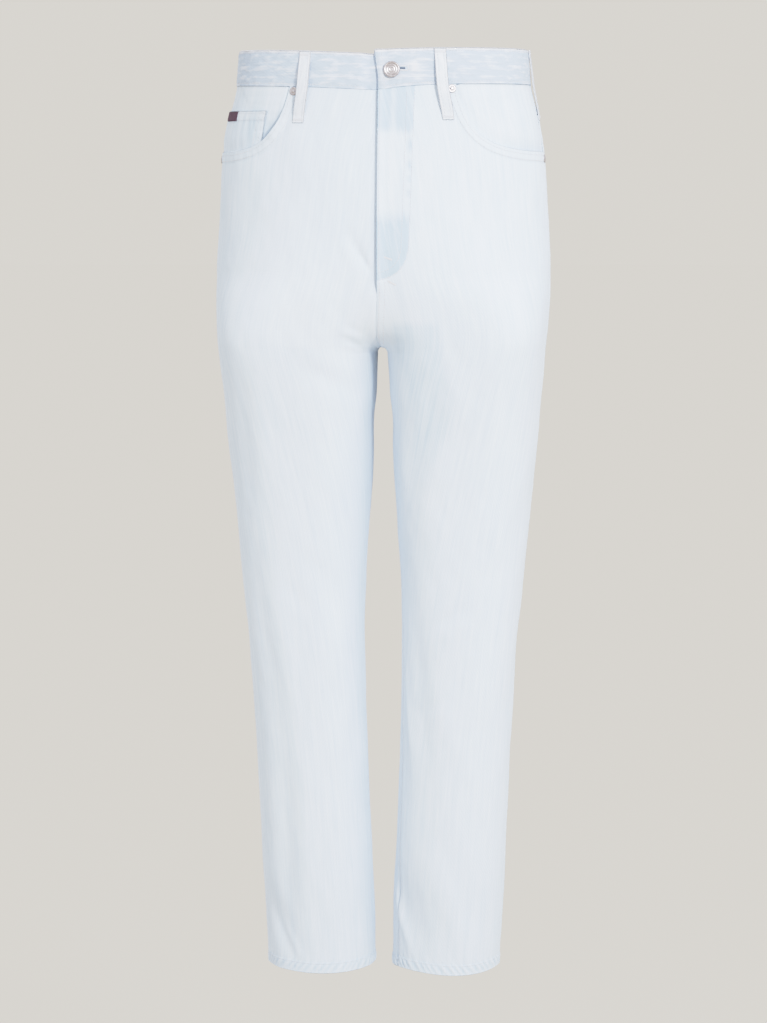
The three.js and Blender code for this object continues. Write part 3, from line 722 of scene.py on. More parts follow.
# Meshes
def join_mesh(name, points, quads, triangles=()):
    """A mesh in metres from points in millimetres."""
    mesh = bpy.data.meshes.new(name)
    quads = np.asarray(quads, np.int32).reshape(-1, 4)
    triangles = np.asarray(triangles, np.int32).reshape(-1, 3)
    mesh.vertices.add(len(points))
    mesh.vertices.foreach_set("co", (np.asarray(points) * METRES).astype(np.float32).ravel())
    loops = np.concatenate([quads.ravel(), triangles.ravel()])
    mesh.loops.add(len(loops))
    mesh.loops.foreach_set("vertex_index", loops)
    starts = np.concatenate([
        np.arange(len(quads)) * 4,
        len(quads) * 4 + np.arange(len(triangles)) * 3,
    ])
    mesh.polygons.add(len(starts))
    mesh.polygons.foreach_set("loop_start", starts.astype(np.int32))
    mesh.update(calc_edges=True)
    mesh.validate()
    mesh.polygons.foreach_set("use_smooth", np.ones(len(mesh.polygons), bool))
    obj = bpy.data.objects.new(name, mesh)
    bpy.context.scene.collection.objects.link(obj)
    return obj


def set_uv(obj, across, along):
    layer = obj.data.uv_layers.new(name="UVMap")
    loops = np.zeros(len(obj.data.loops), np.int32)
    obj.data.loops.foreach_get("vertex_index", loops)
    uv = np.stack([across[loops], along[loops]], axis=1) * METRES
    layer.data.foreach_set("uv", uv.astype(np.float32).ravel())


def set_attribute(obj, name, values):
    layer = obj.data.attributes.new(name, "FLOAT", "POINT")
    layer.data.foreach_set("value", np.asarray(values, np.float32).ravel())


def signed_volume(points, quads):
    a, b, c, d = (points[quads[:, k]] for k in range(4))
    return (np.einsum("ij,ij->i", a, np.cross(b, c)) + np.einsum("ij,ij->i", a, np.cross(c, d))).sum()


def finish_piece(obj, material, nodes=()):
    obj.data.materials.append(material)
    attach(obj, "root")
    if nodes:
        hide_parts(*nodes)
    return obj


def grid_faces(rows, columns):
    """Indices of a grid of points, those round its border, and the faces of its under and over sides."""
    index = np.arange(rows * columns).reshape(rows, columns)
    border = np.concatenate([index[0, :-1], index[:-1, -1], index[-1, :0:-1], index[:0:-1, 0]])
    a, b = index[:-1, :-1].ravel(), index[1:, :-1].ravel()
    c, d = index[1:, 1:].ravel(), index[:-1, 1:].ravel()
    return index, border, [np.stack([a, d, c, b], 1), np.stack([a, b, c, d], 1) + index.size]


def wall(under, over, round_edge):
    """Points and faces of a closed wall between two grids of points, and the indices of its border."""
    index, border, quads = grid_faces(*under.shape[:2])
    i, j = np.unravel_index(border, index.shape)
    near = index[np.clip(i, 1, index.shape[0] - 2), np.clip(j, 1, index.shape[1] - 2)]
    under, over = under.reshape(-1, 3), over.reshape(-1, 3)
    middle = (under[border] + over[border]) / 2
    away = middle - (under[near] + over[near]) / 2
    away /= np.maximum(np.linalg.norm(away, axis=1, keepdims=True), 1e-6)
    thick = np.linalg.norm(over[border] - under[border], axis=1, keepdims=True)
    points = np.concatenate([under, over, middle + away * thick * round_edge])
    ring = np.arange(len(border))
    after = np.roll(ring, -1)
    first = 2 * index.size
    quads.append(np.stack([border, border[after], first + after, first + ring], 1))
    quads.append(np.stack([first + ring, first + after, index.size + border[after], index.size + border], 1))
    quads = np.concatenate(quads)
    if signed_volume(points, quads) < 0:
        quads = quads[:, ::-1]
    return points, quads, border


def declare_sheet(drop, g, flat):
    """Works out a cloth piece's flat size, its own unless another is given; the size is not used."""
    width, length = (round(float(v.max() - v.min()) * METRES, 3) for v in (g, drop))
    flat = tuple(max(SMALLEST_SIDE, v) for v in flat or (width, length))


def shell(name, side, drop, g, low, high, material, grain="down", tint=None,
          flat=None, round_edge=0.35):
    """A closed wall of cloth on a grid of places, with rounded edges, ridden on the root body."""
    places = (side, drop, g, low, high)
    side, drop, g, low, high = np.broadcast_arrays(*(np.asarray(v, float) for v in places))
    base, normal = cloth_at(side, drop, g)
    points, quads, border = wall(base + normal * low[..., None], base + normal * high[..., None], round_edge)

    def on_points(values):
        values = np.broadcast_to(values, g.shape).ravel()
        return np.concatenate([values, values, values[border]])

    obj = join_mesh(name, points, quads)
    across, along = (g, -drop) if grain == "down" else (drop, g)
    set_uv(obj, on_points(across), on_points(along))
    if tint is not None:
        for word, values in tint(side, drop, g).items():
            set_attribute(obj, word, on_points(values))
    finish_piece(obj, material, [name])
    declare_sheet(drop, g, flat)
    return obj


def ring_faces(rings, segments):
    """Faces between rings of points, which start after one middle point."""
    here = np.arange(segments)
    after = np.roll(here, -1)
    return np.concatenate([
        np.stack([start + here, start + after, start + segments + after, start + segments + here], 1)
        for start in 1 + np.arange(rings - 1) * segments
    ])


def lathe(name, profile, side, drop, g, height, segments):
    """A turned metal piece, whose profile is rows of radius and height."""
    profile = np.array(profile, float)
    base, normal = cloth_at(np.array([side]), np.array([float(drop)]), np.array([float(g)]))
    seat, out = base[0] + normal[0] * height, normal[0]
    across = np.cross(out, [0, 0, 1])
    across /= np.linalg.norm(across)
    down = np.cross(out, across)
    angle = np.linspace(0, 2 * math.pi, segments, endpoint=False)
    ring = np.cos(angle)[:, None] * across + np.sin(angle)[:, None] * down
    rings = profile[1:-1]
    first, top = (seat + out * profile[end, 1] for end in (0, -1))
    points = np.vstack([first, *(seat + r * ring + out * h for r, h in rings), top])
    here = np.arange(segments)
    after = np.roll(here, -1)
    quads = ring_faces(len(rings), segments)
    last = 1 + (len(rings) - 1) * segments
    first_cap = np.stack([np.zeros(segments, int), after + 1, here + 1], 1)
    last_cap = np.stack([np.full(segments, len(points) - 1), last + here, last + after], 1)
    triangles = np.concatenate([first_cap, last_cap])
    if signed_volume(points - seat, quads) < 0:
        quads, triangles = quads[:, ::-1], triangles[:, ::-1]
    obj = join_mesh(name, points, quads, triangles)
    radius = np.concatenate([[profile[0, 0]], np.repeat(rings[:, 0], segments), [profile[-1, 0]]])
    turn = np.concatenate([[0], np.tile(angle, len(rings)), [0]])
    set_uv(obj, radius, turn * 10)
    set_attribute(obj, "radius", radius)
    return finish_piece(obj, NICKEL, [name])


# Sewing
STITCH = {"pitch": 3.3, "length": 2.9, "width": 0.6, "height": 0.26}


def along_line(points, spacing):
    length = np.concatenate([[0], np.cumsum(np.linalg.norm(np.diff(points, axis=0), axis=1))])
    count = max(1, int(length[-1] / spacing))
    return length, (np.arange(count) + 0.5) * (length[-1] / count)


def stitches(side, drop, g, height):
    """Points and faces of a row of stitches along a line of places."""
    drop, g, height = (np.broadcast_to(np.asarray(v, float), np.shape(drop)) for v in (drop, g, height))
    side = np.broadcast_to(np.asarray(side, float), drop.shape)
    base, normal = cloth_at(side, drop, g)
    line = base + normal * height[..., None]
    length, centres = along_line(line, STITCH["pitch"])
    shares = np.array([-0.5, -0.3, 0.3, 0.5])
    lifts = np.array([-0.35, 0.1, 0.1, -0.35])
    s = np.clip(centres[:, None] + shares * STITCH["length"], 0, length[-1])

    def pick(values):
        return np.stack([np.interp(s, length, values[:, k]) for k in range(3)], axis=-1)

    centre, out = pick(line), pick(normal)
    ahead = pick(np.gradient(line, axis=0))
    ahead /= np.linalg.norm(ahead, axis=-1, keepdims=True)
    aside = np.cross(out, ahead)
    aside /= np.maximum(np.linalg.norm(aside, axis=-1, keepdims=True), 1e-9)
    centre = centre + out * lifts[:, None]
    w, h = STITCH["width"] / 2, STITCH["height"]
    ring = np.stack([centre - aside * w, centre + out * h, centre + aside * w, centre - out * 0.2], axis=2)
    points = ring.reshape(-1, 3)
    one = np.concatenate([ring_faces(4, 4) - 1, [[3, 2, 1, 0], [12, 13, 14, 15]]])
    quads = (one[None] + (np.arange(len(centres)) * 16)[:, None, None]).reshape(-1, 4)
    return points, quads


def bartack(side, drop, g, height, lean, length, width):
    """A close zigzag bar, as a low ribbed lozenge. Its lean is from upright, in degrees."""
    ribs = max(6, int(length / 0.8))
    turn = math.radians(lean)
    s = np.linspace(-0.5, 0.5, 4 * ribs + 1) * length
    u = np.array([-1, -0.6, 0, 0.6, 1]) * width / 2
    down = drop + s[:, None] * math.cos(turn) - u * math.sin(turn)
    aside = g + s[:, None] * math.sin(turn) + u * math.cos(turn)
    rib = 0.5 + 0.5 * np.cos(np.linspace(0, 2 * math.pi * ribs, 4 * ribs + 1))
    top = np.array([0, 0.42, 0.55, 0.42, 0])
    ends = np.clip((0.5 - np.abs(s / length)) * length / 0.6, 0, 1)
    lift = height + (0.12 + top * (0.55 + 0.45 * rib[:, None])) * ends[:, None]
    base, normal = cloth_at(np.full(down.shape, float(side)), down, aside)
    over = base + normal * lift[..., None]
    under = base + normal * (height - 0.5)
    index, border, quads = grid_faces(*down.shape)
    after = np.roll(border, -1)
    quads.append(np.stack([border, after, index.size + after, index.size + border], 1))
    return np.concatenate([under.reshape(-1, 3), over.reshape(-1, 3)]), np.concatenate(quads)


def sewn(name, runs, material):
    """One piece from many runs of thread."""
    points, quads, start = [], [], 0
    for p, q in runs:
        if signed_volume(p - p.mean(axis=0), q) < 0:
            q = q[:, ::-1]
        points.append(p)
        quads.append(q + start)
        start += len(p)
    obj = join_mesh(name, np.concatenate(points), np.concatenate(quads))
    return finish_piece(obj, material)


# Materials
def node_tree(name, color, roughness, metallic=0.0, sheen=0.0, specular=0.3):
    """A new material, with its graph and its shader."""
    material = bpy.data.materials.new(name)
    material.use_nodes = True
    shader = material.node_tree.nodes["Principled BSDF"]
    shader.inputs["Base Color"].default_value = (*color, 1)
    shader.inputs["Roughness"].default_value = roughness
    shader.inputs["Metallic"].default_value = metallic
    shader.inputs["Specular IOR Level"].default_value = specular
    shader.inputs["Sheen Weight"].default_value = sheen
    shader.inputs["Sheen Roughness"].default_value = 0.5
    return material, Graph(material), shader


class Graph:
    """Short ways to add and link shader nodes."""

    def __init__(self, material):
        self.nodes = material.node_tree.nodes
        self.links = material.node_tree.links

    def put(self, kind, inputs=None, **settings):
        node = self.nodes.new(kind)
        for key, value in settings.items():
            setattr(node, key, value)
        for key, value in (inputs or {}).items():
            if isinstance(value, bpy.types.NodeSocket):
                self.links.new(value, node.inputs[key])
            else:
                node.inputs[key].default_value = value
        return node

    def math(self, operation, a, b=0.0, c=None):
        inputs = {0: a, 1: b}
        if c is not None:
            inputs[2] = c
        return self.put("ShaderNodeMath", inputs, operation=operation).outputs[0]

    def scaled(self, vector, scale):
        node = self.put("ShaderNodeMapping", {"Vector": vector, "Scale": scale})
        return node.outputs[0]

    def noise(self, vector, scale, detail=3.0, roughness=0.55):
        inputs = {"Vector": vector, "Scale": scale, "Detail": detail, "Roughness": roughness}
        return self.put("ShaderNodeTexNoise", inputs).outputs["Fac"]

    def ramp(self, value, low, high, to_low=0.0, to_high=1.0):
        inputs = {"Value": value, "From Min": low, "From Max": high, "To Min": to_low, "To Max": to_high}
        return self.put("ShaderNodeMapRange", inputs).outputs[0]

    def blend(self, factor, a, b, kind="MIX"):
        node = self.put("ShaderNodeMix", data_type="RGBA", blend_type=kind)
        for socket, value in ((0, factor), (6, a), (7, b)):
            if isinstance(value, bpy.types.NodeSocket):
                self.links.new(value, node.inputs[socket])
            elif socket == 0:
                node.inputs[socket].default_value = value
            else:
                node.inputs[socket].default_value = (*value, 1)
        return node.outputs[2]

    def attribute(self, name):
        return self.put("ShaderNodeAttribute", attribute_name=name).outputs["Fac"]

    def coat(self, shader, colour, relief, strength, depth):
        """Gives a shader its colour, and a relief of a depth in metres."""
        lumps = self.put("ShaderNodeBump", {"Height": relief, "Strength": strength, "Distance": depth})
        self.links.new(colour, shader.inputs["Base Color"])
        self.links.new(lumps.outputs[0], shader.inputs["Normal"])


DENIM_PALE = (0.805, 0.868, 0.945)
DENIM_BLUE = (0.575, 0.69, 0.81)
DENIM_WARM = (0.86, 0.84, 0.86)
# The colour that the painted shade towards the hems blends to.
DENIM_PAINTED_SHADE = (0.36, 0.4, 0.5)
NICKEL_COLOUR = (0.66, 0.61, 0.6)
TWILL_DEPTH = 0.00022


def denim(name, pale=DENIM_PALE, blue=DENIM_BLUE, streak=1.0, mottle=0.0):
    """Washed twill: slub streaks down the grain, a fine diagonal rib, tints where washing left some colour,
    and painted light and painted shade carried in the same tints.
    """
    material, graph, shader = node_tree(name, pale, 0.92, sheen=0.12, specular=0.22)
    coords = graph.put("ShaderNodeTexCoord")
    uv, place = coords.outputs["UV"], coords.outputs["Object"]
    fine = graph.noise(graph.scaled(uv, (620, 26, 1)), 1.0, 2.0)
    slub = graph.noise(graph.scaled(uv, (250, 9, 1)), 1.0, 3.0)
    weft = graph.noise(graph.scaled(uv, (60, 900, 1)), 1.0, 1.0)
    cloud = graph.noise(place, 16.0, 3.0)
    patch = graph.noise(graph.scaled(place, (60, 60, 18)), 1.0, 3.0)
    lines = graph.math("ADD", graph.math("MULTIPLY", fine, 0.45), graph.math("MULTIPLY", slub, 0.55))
    lines = graph.ramp(lines, 0.34, 0.68)
    amount = graph.math("MULTIPLY", lines, 0.42 * streak)
    amount = graph.math("ADD", amount, graph.math("MULTIPLY", graph.ramp(cloud, 0.35, 0.7), 0.07))
    amount = graph.math("ADD", amount, graph.math("MULTIPLY", graph.ramp(patch, 0.4, 0.75), 0.06))
    # The 'blue' attribute is mostly the cloth's own tints; at a few places it also holds painted light
    # (paler) and painted shade (bluer).
    tinted = graph.math("MULTIPLY", graph.attribute("blue"), graph.ramp(slub, 0.25, 0.7, 0.55, 1.15))
    amount = graph.math("ADD", amount, tinted)
    worn = graph.ramp(graph.noise(graph.scaled(uv, (210, 62, 1)), 1.0, 2.0), 0.36, 0.66, -0.4, 0.6)
    amount = graph.math("ADD", amount, graph.math("MULTIPLY", worn, mottle))
    colour = graph.blend(amount, pale, blue)
    colour = graph.blend(graph.attribute("warm"), colour, DENIM_WARM)
    # The 'dark' attribute is painted shade: darker towards the hems, where the light falls off.
    colour = graph.blend(graph.attribute("dark"), colour, DENIM_PAINTED_SHADE)
    twill = graph.put("ShaderNodeTexWave", {
        "Vector": graph.scaled(uv, (1, 0.55, 1)), "Scale": 210.0, "Distortion": 1.6, "Detail": 1.0,
        "Detail Scale": 2.0,
    }, wave_type="BANDS", bands_direction="DIAGONAL").outputs["Fac"]
    relief = graph.math("ADD", graph.math("MULTIPLY", twill, 0.4), graph.math("MULTIPLY", fine, 0.9))
    relief = graph.math("ADD", relief, graph.math("MULTIPLY", weft, 0.45))
    relief = graph.math("ADD", relief, graph.math("MULTIPLY", slub, 0.8))
    relief = graph.math("SUBTRACT", relief, graph.math("MULTIPLY", worn, 2.5 * mottle))
    graph.coat(shader, colour, relief, 0.55, TWILL_DEPTH)
    graph.links.new(graph.ramp(fine, 0.2, 0.8, 0.86, 0.97), shader.inputs["Roughness"])
    return material


def thread_material():
    material, graph, shader = node_tree("thread", (0.83, 0.82, 0.84), 0.75, sheen=0.1)
    place = graph.put("ShaderNodeTexCoord").outputs["Object"]
    twist = graph.noise(graph.scaled(place, (900, 900, 900)), 1.0, 2.0)
    wear = graph.noise(place, 45.0, 3.0)
    colour = graph.blend(graph.ramp(wear, 0.3, 0.7), (0.86, 0.84, 0.85), (0.72, 0.76, 0.83))
    colour = graph.blend(graph.ramp(twist, 0.35, 0.65, 0, 0.35), colour, (0.62, 0.64, 0.70))
    graph.coat(shader, colour, twist, 0.5, 0.0002)
    return material


def nickel_material():
    material, graph, shader = node_tree("satin_nickel", NICKEL_COLOUR, 0.34, metallic=1.0, specular=0.5)
    coords = graph.put("ShaderNodeTexCoord")
    brushed = graph.noise(graph.scaled(coords.outputs["UV"], (2600, 40, 1)), 1.0, 3.0)
    worn = graph.noise(coords.outputs["Object"], 420.0, 3.0)
    colour = graph.blend(graph.ramp(worn, 0.35, 0.7), (0.70, 0.655, 0.65), (0.5, 0.44, 0.44))
    graph.links.new(graph.ramp(brushed, 0.3, 0.7, 0.28, 0.46), shader.inputs["Roughness"])
    graph.coat(shader, colour, brushed, 0.3, 0.00005)
    return material


def tape_material():
    material, graph, shader = node_tree("plum_tape", (0.105, 0.045, 0.078), 0.85, sheen=0.1)
    uv = graph.put("ShaderNodeTexCoord").outputs["UV"]
    ribs = graph.put("ShaderNodeTexWave", {"Vector": uv, "Scale": 420.0, "Distortion": 0.3},
                     wave_type="BANDS", bands_direction="X").outputs["Fac"]
    grain = graph.noise(graph.scaled(uv, (1500, 900, 1)), 1.0, 2.0)
    colour = graph.blend(graph.math("MULTIPLY", ribs, 0.5), (0.12, 0.05, 0.088), (0.065, 0.03, 0.05))
    colour = graph.blend(graph.ramp(grain, 0.4, 0.7, 0, 0.3), colour, (0.21, 0.12, 0.165))
    graph.coat(shader, colour, ribs, 0.6, 0.0003)
    return material


def stage_material():
    material, graph, shader = node_tree("studio_floor", (FLOOR_SHADE,) * 3, 1.0, specular=0.0)
    speck = graph.noise(graph.put("ShaderNodeTexCoord").outputs["Object"], 3.0, 2.0)
    shine = tuple(c - FLOOR_SHADE * (WORLD_LIGHT + 0.03) * lit for c, lit in zip(BACKDROP, LIGHT_COLOUR))
    glow = graph.blend(speck, shine, tuple(c * 0.996 for c in shine))
    graph.links.new(glow, shader.inputs["Emission Color"])
    shader.inputs["Emission Strength"].default_value = 1.0
    return material


DENIM = denim("washed_denim")
BAND_PALE = (0.81, 0.838, 0.9)
BAND_BLUE = (0.575, 0.655, 0.765)
DENIM_BAND = denim("washed_denim_band", BAND_PALE, BAND_BLUE, streak=1.9, mottle=0.9)
DENIM_LOOP = denim("washed_denim_loop", streak=1.3, mottle=0.6)
DENIM_INSIDE = denim("washed_denim_inside", pale=(0.74, 0.77, 0.81), streak=0.6)
THREAD = thread_material()
NICKEL = nickel_material()
TAPE = tape_material()
ZIP_TAPE = denim("zip_tape", pale=(0.84, 0.85, 0.87), streak=0.2)
# Painted shade: a dark material for the lens that stands in for the shadowed opening of the buttonhole.
BUTTONHOLE_SHADE = denim("buttonhole_painted_shade", pale=(0.2, 0.24, 0.3), blue=(0.1, 0.13, 0.2))

# Where washing left more colour, or took it out: places by distance from the centre front. The rows over the
# right thigh and beside the crotch on both fronts are painted light, paler cloth that lifts the shade there.
WASH_AND_PAINTED_LIGHT_PATCHES = table("side from_front down wide tall blue warm", [
    [-1, 140, 88, 12, 16, 0.3, 0],
    [-1, 88, 280, 40, 70, -0.22, 0],
    [1, 0, 300, 24, 26, -0.2, 0],
    [-1, 0, 300, 24, 26, -0.2, 0],
    [1, 52, 140, 9, 34, -0.12, 0.06],
    [1, 52, 205, 9, 26, -0.12, 0.06],
])


def patched(patches, side, from_front, down):
    """Sums of blue and of warm white over one table's patches."""
    blue, warm = np.zeros(np.shape(down)), np.zeros(np.shape(down))
    for p in rows_of(patches):
        shape = bump(from_front, p["from_front"], p["wide"]) * bump(down, p["down"], p["tall"])
        shape = np.where(np.asarray(side) == p["side"], shape, 0)
        blue += p["blue"] * shape
        warm += p["warm"] * shape
    return blue, warm


def wash_and_painted_light(side, drop, g):
    """Tints of a place: shares of blue, warm white and dark. Some of the blue is painted light."""
    blue, warm = patched(WASH_AND_PAINTED_LIGHT_PATCHES, side, length_of("front", drop) + g, drop)
    return {"blue": blue, "warm": np.clip(warm, 0, 1), "dark": np.zeros(np.shape(g))}


def near_seams(tints, distances):
    """Adds the bluer line and paler ridge beside seams."""
    for distance, reach in distances:
        tints["blue"] += 0.16 * bump(distance, 0, reach)
        tints["warm"] = np.clip(tints["warm"] + 0.12 * bump(distance, reach * 1.7, reach * 0.7), 0, 1)
    tints["blue"] = np.clip(tints["blue"], -0.3, 1)
    return tints


def hem_tint(half, side, drop, g):
    up = hem_up(half, side, drop, g)
    roping = hem_roping(half, side, g, up)
    return (0.2 - 0.34 * roping) * bump(up, 5.5, 5.5) + 0.2 * bump(up, HEM_DEPTH - 1, 1.6)


def fly_tint(drop, from_front):
    """More colour at the top and the lower end of the stitched fly, and in spots along its edge."""
    outline = j_distance(drop, from_front)
    inside = smooth(outline, -0.4, 1.4)
    top = band(drop, 30, 88, 5) * (1 - 0.75 * bump(from_front, 20, 3.4))
    foot = smooth(drop, 168, 190) * (0.8 + 0.2 * bump(outline, 4, 4))
    foot *= 1 - 0.4 * bump(from_front - 17 - 0.62 * (drop - 178), 0, 1.6) * band(drop, 176, 204, 4)
    spots = bump(from_front, 38, 3.2) * band(drop, 88, 165, 6) * (0.5 + 0.5 * pucker(drop, 17, 0.9))
    light = bump(from_front, 19, 4) * band(drop, 86, 176, 8)
    return inside * (0.8 * top + 1.0 * foot + 0.7 * spots - 0.25 * light)


# The darker patch inside the left thigh: its two edges, as distances from the middle of the garment
THIGH_PATCH = table("drop inner outer", [
    [288, 18, 66], [318, 24, 73], [362, 36, 83], [405, 41, 76], [450, 38, 58], [480, 36, 48],
])


def thigh_tint(drop, across):
    inner = np.interp(drop, THIGH_PATCH["drop"], THIGH_PATCH["inner"])
    outer = np.interp(drop, THIGH_PATCH["drop"], THIGH_PATCH["outer"])
    return 0.4 * band(across, inner, outer, 7) * band(drop, 291, 440, 3 + 40 * smooth(drop, 330, 400))


def front_tint(side, drop, g):
    one = int(np.ravel(side)[0])
    tints = wash_and_painted_light(side, drop, g)
    _, inner, outer = front_edges(one, drop)
    distance = mouth_distance(one, drop, g)[0]
    tints["blue"] += 0.1 * bump(distance, 11, 2) + 0.07 * bump(distance, 2, 1.5)
    tints["blue"] += hem_tint("front", one, drop, g)
    below_waist = drop - waist_seam(one, g)
    tints["blue"] += 0.12 * bump(below_waist, 0, 4)
    if one == LEFT:
        tints["blue"] += fly_tint(drop, g - inner + fly_line(drop))
        tints["blue"] += thigh_tint(drop, on_ring(LEFT, drop, g)[2])
    else:
        # Painted light: paler cloth beside the right leg's inner edge below the crotch, lifting the shade
        # between the legs.
        tints["blue"] -= 0.3 * (1 - smooth(g - inner, 10, 34)) * band(drop, 330, 450, 20)
    # Painted shade: darker towards the hem, where the light falls off.
    tints["dark"] = 0.07 * smooth(drop, 780, OUTSEAM)
    return near_seams(tints, [(outer - g, 2.2), (np.where(drop > 40, g - inner, 99), 1.8)])


def back_tint(side, drop, g):
    one = int(np.ravel(side)[0])
    tints = wash_and_painted_light(side, drop, g)
    _, inner, outer = back_edges(one, drop)
    tints["blue"] += hem_tint("back", one, drop, g)
    below = below_yoke(drop, g)
    tints["blue"] += 0.12 * bump(below, 10, 2)
    # Painted shade: darker towards the hem, where the light falls off.
    tints["dark"] = 0.07 * smooth(drop, 780, OUTSEAM)
    return near_seams(tints, [(g - outer, 2.2), (inner - g, 2), (below, 2)])


# Grids of places
def spaced(stops):
    """Values through stops, each with the step that follows it: [(start, step), ..., (end, 0)]."""
    values = []
    for (low, step), (high, _) in zip(stops, stops[1:]):
        count = max(1, round((high - low) / step))
        values.extend(np.linspace(low, high, count, endpoint=False))
    values.append(stops[-1][0])
    return np.array(values)


def parts(stops, counts):
    """Values through stops, with a number of equal steps from each to the next."""
    spans = zip(stops, stops[1:], counts)
    return np.concatenate([*(np.linspace(*span, endpoint=False) for span in spans), stops[-1:]])


def leg_rows():
    """Levels of a leg panel below the hip level, close together where there is sewing."""
    return spaced([
        (HIP_LEVEL, 4.4), (218, 1.5), (250, 4.4), (300, 2.4), (312, 1), (326, 2.6), (352, 4.6),
        (OUTSEAM - HEM_DEPTH - 8, 2.2), (OUTSEAM - HEM_DEPTH - 2.2, 0.7), (OUTSEAM - HEM_DEPTH + 2.4, 1.3),
        (OUTSEAM - 1.2, 0.6), (OUTSEAM, 0),
    ])


def leg_place(edges, side, share, drop):
    """Places across a panel. Columns of a leg's inner side wait at the inner edge above the fork."""
    _, inner, outer = edges(side, drop)
    width = outer - inner
    _, fork_inner, fork_outer = edges(side, CROTCH + 0 * drop)
    full = np.maximum(width, fork_outer - fork_inner)
    wanted = mix(width, full, smooth(drop, 262, CROTCH - 2) * (drop < CROTCH))
    from_outer = (1 - share) * wanted
    kept = width - WAITING
    beyond = kept + (from_outer - kept) * WAITING / (wanted - kept)
    return outer - np.where(from_outer < kept, from_outer, beyond)


def hem_dip(share, drop):
    """How much lower a front hangs between its seams, towards its hem."""
    return HEM_DIP * np.sin(math.pi * share) ** 2 * smooth(drop, 800, OUTSEAM)


def leg_grid(edges, side, top_share, top_drop, even, top_rows):
    """Places of a leg panel, from its shaped top edge down to its hem."""
    v = top_rows[:-1, None]
    share = mix(top_share, even, v)
    drop = mix(top_drop, HIP_LEVEL, v)
    levels = leg_rows()[:, None]
    share = np.vstack([share, np.broadcast_to(even, (len(levels), len(even)))])
    drop = np.vstack([drop, np.broadcast_to(levels, (len(levels), len(even)))])
    g = leg_place(edges, side, share, drop)
    if edges is front_edges:
        drop = drop + hem_dip(share, drop)
    return drop, g


def front_panel(side):
    corner_g, _ = mouth(side, 0)
    start = front_edges(side, WAISTBAND_HEIGHT + WAIST_DIP)[1]
    run = corner_g - start
    across = spaced([(0, 0.7), (3.5, 1.3), (48, 2.6), (run, 0)]) / run
    curve = mouth_line(side)[2][-1]
    along = spaced([(0, 1.7), (curve - 8, 1.3), (curve - 2, 0.6), (curve, 0)]) / curve
    even = np.concatenate([across[:-1] * STRAIGHT, STRAIGHT + along * (1 - STRAIGHT)])
    straight_g = mix(start, corner_g, across[:-1])
    mouth_g, mouth_drop = mouth(side, along)
    top_g = np.concatenate([straight_g, mouth_g])
    top_drop = np.concatenate([waist_seam(side, straight_g), mouth_drop])
    _, inner, outer = front_edges(side, top_drop)
    share = (top_g - inner) / (outer - inner)
    share[0], share[-1] = 0, 1
    rows = spaced([(0, 0.006), (0.03, 0.012), (0.12, 0.02), (0.3, 0.035), (1, 0)])
    drop, g = leg_grid(front_edges, side, share, top_drop, even, rows)
    lift = front_lift(side, drop, g)
    return shell("front_" + WORD[side], side, drop, g, lift, lift + CLOTH, DENIM, tint=front_tint)


def back_columns(width, step):
    """Shares across a back piece, close together beside its two seams."""
    stops = [(0, 0.6), (2.4, 1.2), (12, step), (width - 10, 1.3), (width - 2.4, 0.6), (width, 0)]
    return spaced(stops) / width


def back_panel(side):
    width = length_of("back", HIP_LEVEL)
    columns = back_columns(width, 2.6)
    rows = spaced([(0, 0.012), (0.15, 0.022), (1, 0)])
    drop, g = leg_grid(back_edges, side, columns, yoke_seam(columns) + SEAM_GAP, columns, rows)
    lift = back_lift(side, drop, g)
    return shell("back_" + WORD[side], side, drop, g, lift, lift + CLOTH, DENIM, tint=back_tint)


def yoke_lift(side, share, drop, lower, g):
    up = lower - drop
    width = length_of("back", WAISTBAND_HEIGHT)
    from_middle, from_side = share * width, (1 - share) * width
    lift = -0.55 * bump(up, 0, 1) + 0.2 * bump(up, 6, 4)
    lift += 0.15 * pucker(g, 9, side) * bump(up, 4, 5)
    return lift + rolled(from_side) + middle_lift(side, from_middle)


def yoke(side):
    width = length_of("back", WAISTBAND_HEIGHT)
    share = back_columns(width, 2.4)
    v = spaced([(0, 0.06), (0.8, 0.03), (1, 0)])[:, None]
    seam = waist_seam(side, placed(back_edges, side, share, np.full(share.shape, float(WAISTBAND_HEIGHT))))
    lower = yoke_seam(share)
    drop = mix(seam, lower, v)
    g = placed(back_edges, side, np.broadcast_to(share, drop.shape), drop)
    lift = yoke_lift(side, share, drop, lower, g)

    def tint(s, d, gg):
        tints = wash_and_painted_light(s, d, gg)
        return near_seams(tints, [(lower - d, 1.8), (d - seam, 3)])

    return shell("yoke_" + WORD[side], side, drop, g, lift, lift + CLOTH, DENIM, tint=tint)


def facing_lift(side, drop, g):
    """The facing lies under the front's edge, and comes up level with it inside the mouth."""
    distance, along = mouth_distance(side, drop, g)
    upper = 1 - smooth(along, 14, 34)
    rise = mix(1.5 * smooth(-distance, 1.5, 16), 1.9 * smooth(-distance, 0.6, 4), upper)
    sunk = 0.9 * gape(side, along) * smooth(-distance, 26, 2)
    ripple = 0.12 * pucker(along, 12, side) * smooth(-distance, 0, 6)
    return FACING_HIGH + rise + ripple - sunk - 0.7 * bump(g, 0, 1.3)


